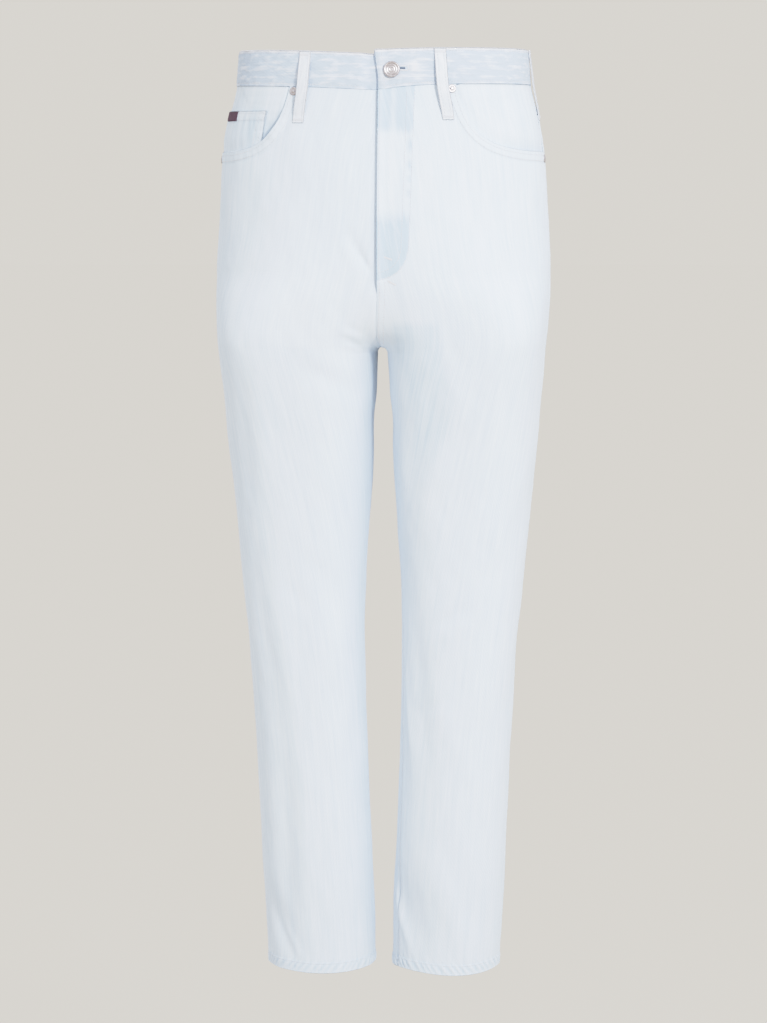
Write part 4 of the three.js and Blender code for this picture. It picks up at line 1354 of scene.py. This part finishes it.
def pocket_facing(side):
    widest = POCKET_ACROSS[side] + FACING_MARGIN
    start = mouth_share(side, widest - 4, FACING_MARGIN)
    t = np.linspace(0, 1, 60)
    lower_g, lower_drop = mouth(side, mix(start, 1, t), FACING_MARGIN)
    lower_g = np.minimum(lower_g, -GAP / 2)
    upper_g = mix(-widest, -GAP / 2, t)
    v = np.linspace(0, 1, 40)[:, None]
    g = mix(upper_g, lower_g, v)
    drop = mix(waist_seam(side, upper_g), lower_drop, v)
    high = facing_lift(side, drop, g)

    def tint(s, d, gg):
        tints = wash_and_painted_light(s, d, gg)
        distance, along = mouth_distance(side, d, gg)
        # Bluer beside the mouth: the facing's own tint there, and, grown with the gape, painted shade in the
        # open mouth.
        tints["blue"] += (0.04 + 0.24 * gape(side, along)) * bump(distance, 0, 9)
        return near_seams(tints, [(d - waist_seam(side, gg), 2.5)])

    name = "pocket_facing_" + WORD[side]
    return shell(name, side, drop, g, high - CLOTH, high, DENIM, tint=tint)


def coin_grid(clear=0.5):
    start = mouth_share(RIGHT, COIN_POCKET_ACROSS, -clear)
    t = np.linspace(0, 1, 64)
    lower_g, lower_drop = mouth(RIGHT, mix(start, 1, t), -clear)
    lower_g = np.minimum(lower_g, -clear)
    upper_g = np.minimum(mix(-COIN_POCKET_ACROSS, -clear, t), -clear)
    v = parts((0, 0.35, 1), (11, 21))[:, None]
    return mix(COIN_POCKET_DROP, lower_drop, v), mix(upper_g, lower_g, v)


def coin_lift(drop, g):
    lift = facing_lift(RIGHT, drop, g) + 0.12
    down = drop - COIN_POCKET_DROP
    lift += 0.35 * (1 - smooth(down, COIN_HEM - 1.5, COIN_HEM + 1)) + 0.14 * pucker(g, 8) * bump(down, 6, 6)
    from_edge = g + COIN_POCKET_ACROSS
    return lift + 0.18 * pucker(drop, 9) * bump(from_edge, 5, 5) + 0.25 * band(from_edge, -2, 9, 1.2)


def coin_pocket():
    drop, g = coin_grid()
    lift = coin_lift(drop, g)

    def tint(s, d, gg):
        tints = wash_and_painted_light(s, d, gg)
        from_edge = gg + COIN_POCKET_ACROSS
        tints["blue"] += 0.3 * bump(from_edge, 13, 6) + 0.25 * bump(from_edge, 28, 4)
        tints["blue"] += 0.12 * bump(d, COIN_POCKET_DROP + COIN_HEM + 1, 2)
        tints["warm"] = np.clip(tints["warm"] + 0.2 * bump(d, COIN_POCKET_DROP + 4, 4), 0, 1)
        return near_seams(tints, [])

    return shell("coin_pocket", RIGHT, drop, g, lift, lift + COIN_CLOTH, DENIM, tint=tint)


def side_tab():
    u = np.linspace(0, 1, 26)
    v = np.linspace(0, 1, 10)[:, None]
    g = mix(TAB_FROM, TAB_TO, np.broadcast_to(u, (10, 26)))
    drop = COIN_POCKET_DROP + 1 + v * TAB_HEIGHT + 0 * g
    low = coin_lift(drop, g) + COIN_CLOTH + 0.1
    return shell("side_tab", RIGHT, drop, g, low, low + TAB_CLOTH, TAPE)


def back_pocket_place(u, v):
    """A place on a back pocket: u from -1 to 1 across it, v from 0 to 1 down it."""
    b = BACK_POCKET
    whole = length_of("back", HIP_LEVEL)
    g = whole - b["from_back"] - u * mix(b["across"], b["bottom"], v) / 2
    share = np.clip((whole - g) / whole, 0, 1)
    return yoke_seam(share) + b["below"] + v * mix(b["point"], b["side"], np.abs(u)), g


def back_pocket_edges(u, v):
    """Distances from a back pocket's sewn edge and from its top."""
    b = BACK_POCKET
    edge = np.minimum((1 - np.abs(u)) * b["across"] / 2, (1 - v) * b["side"])
    return edge, v * b["side"]


def back_pocket_lift(side, u, v):
    edge, from_top = back_pocket_edges(u, v)
    drop, g = back_pocket_place(u, v)
    lift = 1.1 * smooth(edge, 0, 40) * smooth(from_top, -30, 30)
    lift += 0.3 * (1 - smooth(edge, 8, 10.5)) + 0.16 * pucker(drop + g, 9, side) * bump(edge, 5, 5)
    lift += 0.35 * (1 - smooth(from_top, 13, 15)) + 0.2 * pucker(g, 11, side) * bump(from_top, 12, 7)
    return lift + 0.5 * bump(u + 0.3 * side, 0, 0.3) * bump(v, 0.12, 0.2)


def back_pocket_low(side, u, v):
    """Height of a back pocket's inner face, clear of the back that carries it."""
    drop, g = back_pocket_place(u, v)
    carrier = back_lift(side, drop, g) + CLOTH
    return carrier + np.maximum(0.8 * back_pocket_lift(side, u, v) - 0.09, 0.08)


def back_pocket(side):
    u, v = np.meshgrid(parts((-1, -0.86, 0.86, 1), (7, 46, 7)), parts((0, 0.16, 0.86, 1), (11, 25, 10)))
    drop, g = back_pocket_place(u, v)
    low = back_pocket_low(side, u, v)

    def tint(s, d, gg):
        tints = wash_and_painted_light(s, d, gg)
        edge, from_top = back_pocket_edges(u, v)
        tints["blue"] += 0.16 * bump(edge, 10, 2) + 0.12 * bump(from_top, 15, 2)
        tints["warm"] = np.clip(tints["warm"] + 0.2 * bump(edge, 0, 2), 0, 1)
        return near_seams(tints, [])

    name = "back_pocket_" + WORD[side]
    return shell(name, side, drop, g, low, low + CLOTH, DENIM, tint=tint)


# The waistband
TOP_GIRTH = 2 * float(length_of("front", 0) + length_of("back", 0))


def band_place(station, down):
    """A place on the waistband: its station round from the buttonhole end, and a share down it."""
    side = np.where(station < 0.5, LEFT, RIGHT)
    from_front = TOP_GIRTH * np.where(station < 0.5, station, 1 - station)
    share = np.where(side > 0, dip_share(LEFT, from_front), dip_share(RIGHT, from_front))
    top = np.where(side > 0, TOP_DIP[LEFT], TOP_DIP[RIGHT]) * share + BACK_DIP * smooth(from_front, 110, 240)
    drop = mix(top, WAISTBAND_HEIGHT + WAIST_DIP * share + 0.24, down)
    front, back = length_of("front", drop), length_of("back", drop)
    round_to = station * 2 * (front + back)
    start = fly_line(drop) * np.maximum(0, 1 - from_front / 30)
    g = np.where(side > 0, round_to - front + start, 2 * back + front - round_to)
    return side, drop, g


# Where the waistband keeps more colour, or less
BAND_PATCHES = table("side from_front down wide tall blue warm", [
    [-1, 65, 13, 5, 7, 0.7, 0],
    [-1, 51, 14, 10, 2.4, 0.4, 0],
    [-1, 116, 26, 9, 4, 0.35, 0],
    [-1, 128, 10, 8, 6, 0.3, 0],
    [-1, 30, 30, 12, 3, 0.25, 0],
    [1, 40, 18, 6, 5, -0.3, 0.4],
    [1, 84, 16, 6, 13, 0.3, 0],
    [1, 118, 22, 14, 5, 0.25, 0],
    [1, 6, 18, 5, 18, -0.2, 0.2],
])

WRINKLES = table("station down length width lean height", [
    [0.145, 0.3, 40, 3.2, 72, 0.5],
    [0.165, 0.45, 34, 3, 66, -0.4],
    [0.118, 0.6, 24, 3, 80, 0.35],
    [0.2, 0.4, 30, 4, 62, 0.35],
    [0.056, 0.25, 22, 3, 58, 0.3],
    [0.93, 0.35, 36, 3.4, -68, 0.4],
    [0.905, 0.55, 34, 3.2, -74, -0.35],
    [0.878, 0.3, 30, 3, -66, 0.35],
    [0.84, 0.5, 34, 4, -70, 0.4],
    [0.8, 0.4, 28, 4, -60, -0.3],
    [0.96, 0.6, 20, 3, -60, 0.3],
    [0.3, 0.4, 34, 4, 70, 0.4],
    [0.36, 0.6, 30, 4, 76, -0.35],
    [0.43, 0.4, 34, 4, -70, 0.35],
    [0.58, 0.5, 34, 4, 70, 0.35],
    [0.64, 0.35, 30, 4, -74, -0.35],
    [0.71, 0.55, 34, 4, -66, 0.4],
])


def band_lift(station, down):
    along = station * TOP_GIRTH
    height = down * WAISTBAND_HEIGHT
    lift = 0.35 * np.sin(math.pi * np.clip(down, 0, 1)) ** 0.7
    lift -= 0.3 * bump(height, 2.6, 0.9) + 0.3 * bump(height, WAISTBAND_HEIGHT - 2.6, 0.9)
    by_stitches = bump(height, 5, 5) + bump(height, WAISTBAND_HEIGHT - 5, 5)
    lift += 0.2 * pucker(along + 0.5 * height, 9.5, 0.4) * by_stitches
    lift += 0.12 * pucker(along * 0.8 - height, 14, 1.4)
    for w in rows_of(WRINKLES):
        below = (down - w["down"]) * WAISTBAND_HEIGHT
        lift += w["height"] * crease_shape(w, below, along - w["station"] * TOP_GIRTH)
    return lift * smooth(along, -1, 5) + 1.1 * bump(along, 3.5, 4)


def band_step(station):
    return UNDERLAP_STEP * (1 - smooth((1 - station) * TOP_GIRTH, 5, 16))


def band_height(station, down):
    """Height of the waistband's outer face."""
    return WAISTBAND_OUTSIDE - BAND_SUNK - band_step(station) + band_lift(station, down)


def waistband():
    length = TOP_GIRTH + UNDERLAP
    station = spaced([(0, 0.5), (3, 1.3), (60, 1.9), (length - 2, 0.7), (length, 0)]) / TOP_GIRTH
    down = spaced([(0, 0.02), (0.14, 0.05), (0.86, 0.02), (1, 0)])
    station, down = np.meshgrid(station, down)
    side, drop, g = band_place(station, down)
    low = WAISTBAND_INSIDE - band_step(station) + 0.3 * band_lift(station, down)
    high = band_height(station, down)

    def tint(s, d, gg):
        along = station * TOP_GIRTH
        height = down * WAISTBAND_HEIGHT
        from_front = np.where(station < 0.5, along, TOP_GIRTH - along)
        blue = 0.3 + 0.1 * smooth(from_front, 70, 110) * (s > 0) + 0.12 * bump(height, 5.5, 2.5)
        up = WAISTBAND_HEIGHT - height
        blue += 0.16 * bump(up, 5.5, 3) + 0.4 * bump(up, 3, 0.8)
        blue += 0.07 * (1 + pucker(along, 31, 0.3)) + 0.05 * (1 + pucker(along + 2 * height, 19, 1.1))
        more, warm = patched(BAND_PATCHES, s, from_front, height)
        rim = smooth(height, 2.4, 0.6)
        blue = np.clip((blue + more) * (1 - rim), 0, 1)
        return {"blue": blue, "warm": np.clip(warm + 0.6 * rim, 0, 1), "dark": 0 * gg}

    flat = (round(length * METRES, 3), WAISTBAND_HEIGHT * METRES)
    return shell("waistband", side, drop, g, low, high, DENIM_BAND, grain="round", tint=tint, flat=flat)


# Belt loops
LOOPS = {
    "front_left": {"side": LEFT, "top": 68.4, "bottom": 78.1},
    "front_right": {"side": RIGHT, "top": 74.4, "bottom": 81.6},
    "side_left": {"side": LEFT, "from_side": 8, "arch": 1.4},
    "side_right": {"side": RIGHT, "from_side": 27},
    "back": {"side": LEFT, "from_back": 0},
}


def loop_place(loop, u, v):
    """A place on a belt loop, u from -1 to 1 across it and v from 0 to 1 down it, with its height."""
    side = loop["side"]

    def at_drop(drop, from_front):
        if "from_side" in loop:
            return loop["from_side"]
        if "from_back" in loop:
            return float(length_of("back", drop)) - loop["from_back"]
        return from_front - float(length_of("front", drop))

    top_g = at_drop(0, loop.get("top"))
    bottom_g = at_drop(LOOP_LENGTH, loop.get("bottom"))
    drop = waist_top(side, length_of("front", 0) + top_g) + 0.5 + v * LOOP_LENGTH
    g = mix(top_g, bottom_g, v) + u * LOOP_WIDTH / 2
    end = 0.1
    arch = loop.get("arch", LOOP_ARCH) * np.sin(math.pi * np.clip((v - end) / (1 - 2 * end), 0, 1)) ** 0.8
    over = mix(WAISTBAND_OUTSIDE, CLOTH + 0.35, smooth(drop, WAISTBAND_HEIGHT + 8, LOOP_LENGTH - 6))
    sewn_down = bump(v, 0.045, 0.035) + bump(v, 0.955, 0.035)
    low = over + GAP + arch - 0.25 * sewn_down
    crown = 0.35 * (1 - np.abs(u) ** 3)
    ridges = 0.22 * bump(np.abs(u), 0.86, 0.16) - 0.18 * bump(np.abs(u), 0.56, 0.12)
    ripple = 0.1 * pucker(v * LOOP_LENGTH, 8, side + loop.get("top", 3)) * np.abs(u)
    thinned = 1 - 0.5 * smooth(v, 0.955, 1)
    return side, drop, g, low, low + (LOOP_CLOTH + crown + ridges + ripple) * thinned


def belt_loop(name, loop):
    half = np.array([0.1, 0.3, 0.46, 0.56, 0.64, 0.74, 0.84, 0.93, 1])
    u, v = np.meshgrid(np.concatenate([-half[::-1], half]), parts((0, 0.1, 0.9, 1), (8, 47, 8)))
    side, drop, g, low, high = loop_place(loop, u, v)

    def tint(s, d, gg):
        blue = 0.1 * bump(np.abs(u), 0.56, 0.14)
        # Painted shade: bluer down the right of the loop's lower half, for the shade of the gap beneath it.
        blue = blue + 0.35 * smooth(u, 0.45, 0.7) * band(v, 0.5, 0.92, 0.06)
        warm = 0.45 + 0.25 * smooth(np.abs(u), 0.8, 1)
        return {"blue": blue, "warm": warm, "dark": np.zeros(gg.shape)}

    return shell("belt_loop_" + name, side, drop, g, low, high, DENIM_LOOP, tint=tint,
                 round_edge=0.5)


# Behind the fly
def fly_strip(name, start, end, length, low, high, material, rounded=0.0, rows=70, columns=24):
    v = np.linspace(0, 1, rows)[:, None]
    u = np.linspace(0, 1, columns)[None]
    drop = WAISTBAND_HEIGHT + WAIST_DIP + 1.3 + v * length + 0 * u
    narrow = rounded * np.maximum(0, v - 0.72) ** 2 * (end - start)
    g = -length_of("front", drop) + mix(start, end - narrow, u)
    return shell(name, LEFT, drop, g, low, high, material,
                 tint=lambda s, d, gg: {"blue": 0.05 + 0 * gg, "warm": 0 * gg, "dark": 0 * gg})


def teeth_run(start, length):
    """Zip teeth down the middle of the tape, as small ribbed blocks."""
    pitch, stagger, height, runs = 2.2, 1.1, -1.75, []
    top = WAISTBAND_HEIGHT + WAIST_DIP + 6
    for k in range(int(length / pitch)):
        drop = top + k * pitch
        g = start - float(length_of("front", drop)) + (stagger if k % 2 else -stagger)
        runs.append(bartack(LEFT, drop, g, height, 90, 3.6, 1.2))
    return runs


for panel in (front_panel, back_panel):
    for side in (LEFT, RIGHT):
        panel(side)
for side in (LEFT, RIGHT):
    yoke(side)
    pocket_facing(side)
    back_pocket(side)
coin_pocket()
side_tab()
waistband()
for loop_name, loop in LOOPS.items():
    belt_loop(loop_name, loop)

FLY_END = FLY_OFFSET + FLY_WIDTH
fly_strip("fly_placket", FLY_OFFSET + 4.6, FLY_END, FLY_LENGTH, -1.8, -0.5, DENIM_INSIDE, 6)
fly_strip("zip", -6, 22, FLY_LENGTH - 25, -3.6, -2.6, ZIP_TAPE)
fly_strip("fly_shield", -12, FLY_END, FLY_LENGTH - 5, -5.6, -4.1, DENIM_INSIDE)

# Metal: a shank button with plain rings, and four plain rivets
BUTTON_PROFILE = [
    [0, 0], [6.2, 0], [7.6, 0.4], [8.5, 1.2], [8.8, 2], [8.7, 2.6], [8.3, 3.1], [7.7, 3.35], [7.1, 3.3],
    [6.6, 3.05], [6.2, 2.75], [5.9, 2.62], [5.6, 2.72], [5.3, 2.95], [5.0, 3.05], [4.6, 3.0], [4.2, 2.8],
    [3.9, 2.66], [3.6, 2.64], [3.0, 2.86], [2.6, 2.98], [2.2, 2.92], [1.8, 2.74], [1.4, 2.68], [0.8, 2.8],
    [0, 2.84],
]
RIVET_PROFILE = [
    [0, 0], [4.4, 0], [4.6, 0.25], [4.5, 0.6], [4.1, 0.9], [3.5, 1.08], [2.9, 1.0], [2.5, 0.82], [2.2, 0.78],
    [1.9, 0.95], [1.7, 1.3], [1.35, 1.52], [0.8, 1.6], [0, 1.62],
]
button_drop = float(mix(waist_top(LEFT, 0), WAISTBAND_HEIGHT + WAIST_DIP, 0.5))
button_g = 18 - float(length_of("front", button_drop))
lathe("button", BUTTON_PROFILE, LEFT, button_drop, button_g, WAISTBAND_OUTSIDE + 0.3, 72)
for side in (LEFT, RIGHT):
    upper_g = float(mouth(side, 0)[0]) - RIVET_RADIUS - 1
    upper_drop = float(waist_seam(side, upper_g)) + RIVET_RADIUS + 0.5
    mouth_g, mouth_drop = (float(v) for v in mouth(side, 1))
    lower_g, lower_drop = mouth_g - RIVET_RADIUS - 1.5, mouth_drop + RIVET_BELOW
    for start, drop, g in (("rivet_", upper_drop, upper_g), ("rivet_side_", lower_drop, lower_g)):
        lathe(start + WORD[side], RIVET_PROFILE, side, drop, g, CLOTH + METAL_SEAT, 48)


# Rows of stitches, each a line of places on the piece that carries it
def run_on(half, side, drop, g):
    """A row on the outer face of a leg panel."""
    return stitches(side, drop, g, LIFTS[half](side, drop, g) + CLOTH)


def beside(x, y, offset):
    """A line moved sideways by an offset."""
    run_x, run_y = np.gradient(x), np.gradient(y)
    norm = np.hypot(run_x, run_y)
    return x - offset * run_y / norm, y + offset * run_x / norm


def panel_run(half, side, offset, drops, inner=True):
    """A row beside a panel's inner edge or its side seam."""
    _, inner_g, outer_g = EDGES[half](side, drops)
    turn = -1 if half == "back" else 1
    g = inner_g + turn * offset if inner else outer_g - turn * offset
    return run_on(half, side, drops, g)


def leg_sewing(side):
    runs = []
    down = np.linspace(CROTCH + 12, OUTSEAM - 2, 420)
    runs.append(panel_run("front", side, 2.2, down))
    for offset in (3.4, 9.4):
        g, drop = beside(*mouth(side, np.linspace(0.004, 0.996, 160)), offset)
        keep = (g < side_seam(side, drop) - 1.2) & (drop > waist_seam(side, g) + 1)
        runs.append(run_on("front", side, drop[keep], g[keep]))
    runs.append(panel_run("front", side, 2, np.linspace(112, 190, 60), inner=False))
    runs.append(hem_run("front", side))
    return runs


def hem_run(half, side):
    share = np.linspace(0.01, 0.99, 140)
    drop = np.full(share.shape, OUTSEAM - HEM_DEPTH + 1.4)
    g = placed(EDGES[half], side, share, drop)
    if half == "front":
        drop = drop + hem_dip(share, drop)
    return run_on(half, side, drop, g)


def fly_sewing():
    runs = []
    line = j_points(300)
    for values in line:
        for _ in range(12):
            values[1:-1] = (values[:-2] + values[1:-1] + values[2:]) / 3
    for inset in (0, 8):
        from_front, drop = beside(*line, inset)
        keep = (from_front > 5.4) & (drop > 45)
        drop = drop[keep]
        runs.append(run_on("front", LEFT, drop, from_front[keep] - length_of("front", drop)))
    for offset in (2.6, 8.4):
        drops = np.linspace(246, 313, 60)
        runs.append(panel_run("front", LEFT, offset, drops))
    runs.append(panel_run("front", LEFT, 1.8, np.linspace(47, 240, 200)))
    for from_front, drop, lean in ((15.5, 222, 70), (19.7, 248, 62)):
        g = from_front - float(length_of("front", drop))
        here = np.array([float(drop)])
        height = float(front_lift(LEFT, here, np.array([g]))[0]) + CLOTH
        runs.append(bartack(LEFT, drop, g, height, lean, 9, 2.2))
    return runs


def back_sewing(side):
    runs = []
    if side == LEFT:
        for offset in TWIN_ROWS:
            drops = np.linspace(104, 312, 160)
            runs.append(panel_run("back", side, offset, drops))
    share = np.linspace(0.01, 0.985, 200)
    for below in TWIN_ROWS:
        drop = yoke_seam(share) + below
        g = placed(back_edges, side, share, drop)
        runs.append(run_on("back", side, drop, g))
    runs.append(hem_run("back", side))
    return runs


def pocket_run(side, u, v):
    drop, g = back_pocket_place(u, v)
    return stitches(side, drop, g, back_pocket_low(side, u, v) + CLOTH)


def pocket_sewing(side):
    runs = []
    for inset in (2, 8.2):
        u_end = 1 - inset / (BACK_POCKET["across"] / 2)
        v_end = 1 - inset / BACK_POCKET["side"]
        fall, across = np.linspace(0.01, v_end, 120), np.linspace(-u_end, u_end, 120)
        runs.append(pocket_run(side, np.full(120, -u_end), fall))
        runs.append(pocket_run(side, across, np.full(120, v_end)))
        runs.append(pocket_run(side, np.full(120, u_end), fall))
    across = np.linspace(-0.97, 0.97, 120)
    runs.append(pocket_run(side, across, np.full(120, 13 / BACK_POCKET["side"])))
    return runs


def band_run(station, down):
    side, drop, g = band_place(station, down)
    return stitches(side, drop, g, band_height(station, down))


def band_sewing():
    """Rows along the waistband's top and seam, and one down its buttonhole end."""
    inset = 2.6
    station = np.linspace(inset / TOP_GIRTH + 0.004, 0.988, 700)
    low = inset / WAISTBAND_HEIGHT
    runs = [band_run(station, np.full(station.shape, down)) for down in (low, 1 - low)]
    down = np.linspace(low, 1 - low, 60)
    runs.append(band_run(np.full(down.shape, 7 / TOP_GIRTH), down))
    return runs


def buttonhole_bar(from_front, below, lean, length, width):
    """A bar of close stitches on the buttonhole end of the waistband."""
    station, down = np.array([from_front / TOP_GIRTH]), np.array([0.5 + below / WAISTBAND_HEIGHT])
    places = (*band_place(station, down)[1:], band_height(station, down))
    return bartack(LEFT, *(float(v[0]) for v in places), lean, length, width)


def buttonhole_sewing():
    return [
        buttonhole_bar(23, -2, 92, 22, 1.7),
        buttonhole_bar(23, 2, 88, 22, 1.7),
        buttonhole_bar(35, 0, 0, 6, 1.8),
    ]


def buttonhole_shade_lens():
    """A thin dark lens between the bars: painted shade that stands in for the buttonhole's opening."""
    return [buttonhole_bar(28.2, 0.6, 90, 7, 2)]


def loop_sewing(loop):
    runs = []
    v = np.linspace(0.03, 0.97, 120)
    for u in (-0.56, 0.56):
        side, drop, g, _, high = loop_place(loop, np.full(v.shape, u), v)
        runs.append(stitches(side, drop, g, high))
    for v in (0.045, 0.955):
        side, *places, _, high = loop_place(loop, np.array([0.0]), np.array([v]))
        drop, g, high = (float(value[0]) for value in (*places, high))
        runs.append(bartack(side, drop, g, high - 0.1, 90, LOOP_WIDTH - 1, 2.4))
    return runs


def coin_run(drop, g):
    return stitches(RIGHT, drop, g, coin_lift(drop, g) + COIN_CLOTH)


def coin_sewing():
    runs = []
    for down in (2.2, COIN_HEM - 0.6):
        g = np.linspace(-COIN_POCKET_ACROSS + 1.5, -3, 120)
        drop = np.full(g.shape, COIN_POCKET_DROP + down)
        keep = (g < TAB_FROM - 1) | (g > TAB_TO + 1)
        for part in (keep & (g < TAB_FROM), keep & (g > TAB_TO)):
            runs.append(coin_run(drop[part], g[part]))
    for inset in (2.2, 8):
        g = np.full(80, -COIN_POCKET_ACROSS + inset)
        _, lowest = mouth(RIGHT, mouth_share(RIGHT, COIN_POCKET_ACROSS - inset, -0.5), -0.5)
        drop = np.linspace(COIN_POCKET_DROP + 1.5, float(lowest) - 1.5, 80)
        g = g + 1.5 * (drop - COIN_POCKET_DROP) / 30
        keep = mouth_distance(RIGHT, drop, g)[0] < -1.2
        runs.append(coin_run(drop[keep], g[keep]))
    return runs


for side in (LEFT, RIGHT):
    word = WORD[side]
    extra = fly_sewing() if side == LEFT else []
    sewn("stitching_front_" + word, leg_sewing(side) + extra, THREAD)
    sewn("stitching_back_" + word, back_sewing(side), THREAD)
    sewn("stitching_back_pocket_" + word, pocket_sewing(side), THREAD)
sewn("stitching_waistband", band_sewing() + buttonhole_sewing(), THREAD)
# A dark lens of painted shade where the buttonhole opens.
sewn("buttonhole", buttonhole_shade_lens(), BUTTONHOLE_SHADE)
sewn("stitching_coin_pocket", coin_sewing(), THREAD)
sewn("stitching_belt_loops", [run for loop in LOOPS.values() for run in loop_sewing(loop)], THREAD)
sewn("zip_teeth", teeth_run(8, FLY_LENGTH - 34), ZIP_TAPE)

# Camera, at the photograph's angle
camera_data = bpy.data.cameras.new("camera")
camera_data.lens = 146
camera_data.sensor_width = 36
camera_data.clip_start = 0.1
camera_data.clip_end = 200
camera = bpy.data.objects.new("camera", camera_data)
bpy.context.scene.collection.objects.link(camera)
bpy.context.scene.camera = camera
turn = math.radians(CAMERA_AZIMUTH)
camera.location = (CAMERA_DISTANCE * math.sin(turn), -CAMERA_DISTANCE * math.cos(turn), CAMERA_HEIGHT)
camera.rotation_euler = (math.radians(90 - CAMERA_PITCH), 0, turn)


# Floor, world and lights
def floor():
    segments = 96
    angle = np.linspace(0, 2 * math.pi, segments, endpoint=False)
    radii = [3000, 12000, 60000]
    level = FLOOR_LEVEL / METRES
    points = [[0, 0, level]] + [[r * math.cos(a), r * math.sin(a), level] for r in radii for a in angle]
    quads = ring_faces(len(radii), segments)[:, ::-1]
    here = np.arange(segments)
    triangles = np.stack([0 * here, 1 + here, 1 + np.roll(here, -1)], 1)
    obj = join_mesh("floor", points, quads, triangles)
    obj.data.materials.append(stage_material())


def soft_light(name, place, aim, size, power):
    data = bpy.data.lights.new(name, "AREA")
    data.energy = power
    data.color = LIGHT_COLOUR
    data.shape = "DISK"
    data.size = size
    obj = bpy.data.objects.new(name, data)
    bpy.context.scene.collection.objects.link(obj)
    obj.location = place
    obj.rotation_euler = (Vector(place) - Vector(aim)).to_track_quat("Z", "Y").to_euler()
    obj.visible_camera = False


soft_light("key", place=(1.45, -2.25, 0.8), aim=(0, 0, -0.35), size=0.5, power=46)


def world():
    """Even studio light. The camera sees the floor's own colour beyond it."""
    scene_world = bpy.data.worlds.new("studio")
    bpy.context.scene.world = scene_world
    scene_world.use_nodes = True
    nodes, links = scene_world.node_tree.nodes, scene_world.node_tree.links
    nodes.clear()
    lit, seen = (nodes.new("ShaderNodeBackground") for _ in range(2))
    for node, colour, strength in ((lit, LIGHT_COLOUR, WORLD_LIGHT), (seen, BACKDROP, 1.0)):
        node.inputs["Color"].default_value = (*colour, 1)
        node.inputs["Strength"].default_value = strength
    path = nodes.new("ShaderNodeLightPath")
    both = nodes.new("ShaderNodeMixShader")
    out = nodes.new("ShaderNodeOutputWorld")
    links.new(path.outputs["Is Camera Ray"], both.inputs[0])
    links.new(lit.outputs[0], both.inputs[1])
    links.new(seen.outputs[0], both.inputs[2])
    links.new(both.outputs[0], out.inputs[0])


def tone():
    """A camera's response: straight in the shadows, with a soft shoulder towards white."""
    view = bpy.context.scene.view_settings
    view.view_transform = "Standard"
    view.use_curve_mapping = True
    mapping = view.curve_mapping
    mapping.clip_max_x = 3
    mapping.clip_max_y = 1
    curve = mapping.curves[3]
    curve.points[-1].location = (3, 1)
    for x, y in ((0.3, 0.31), (0.6, 0.59), (0.8, 0.72), (1, 0.8), (1.2, 0.86), (1.6, 0.93)):
        curve.points.new(x, y)
    mapping.update()


floor()
world()
tone()
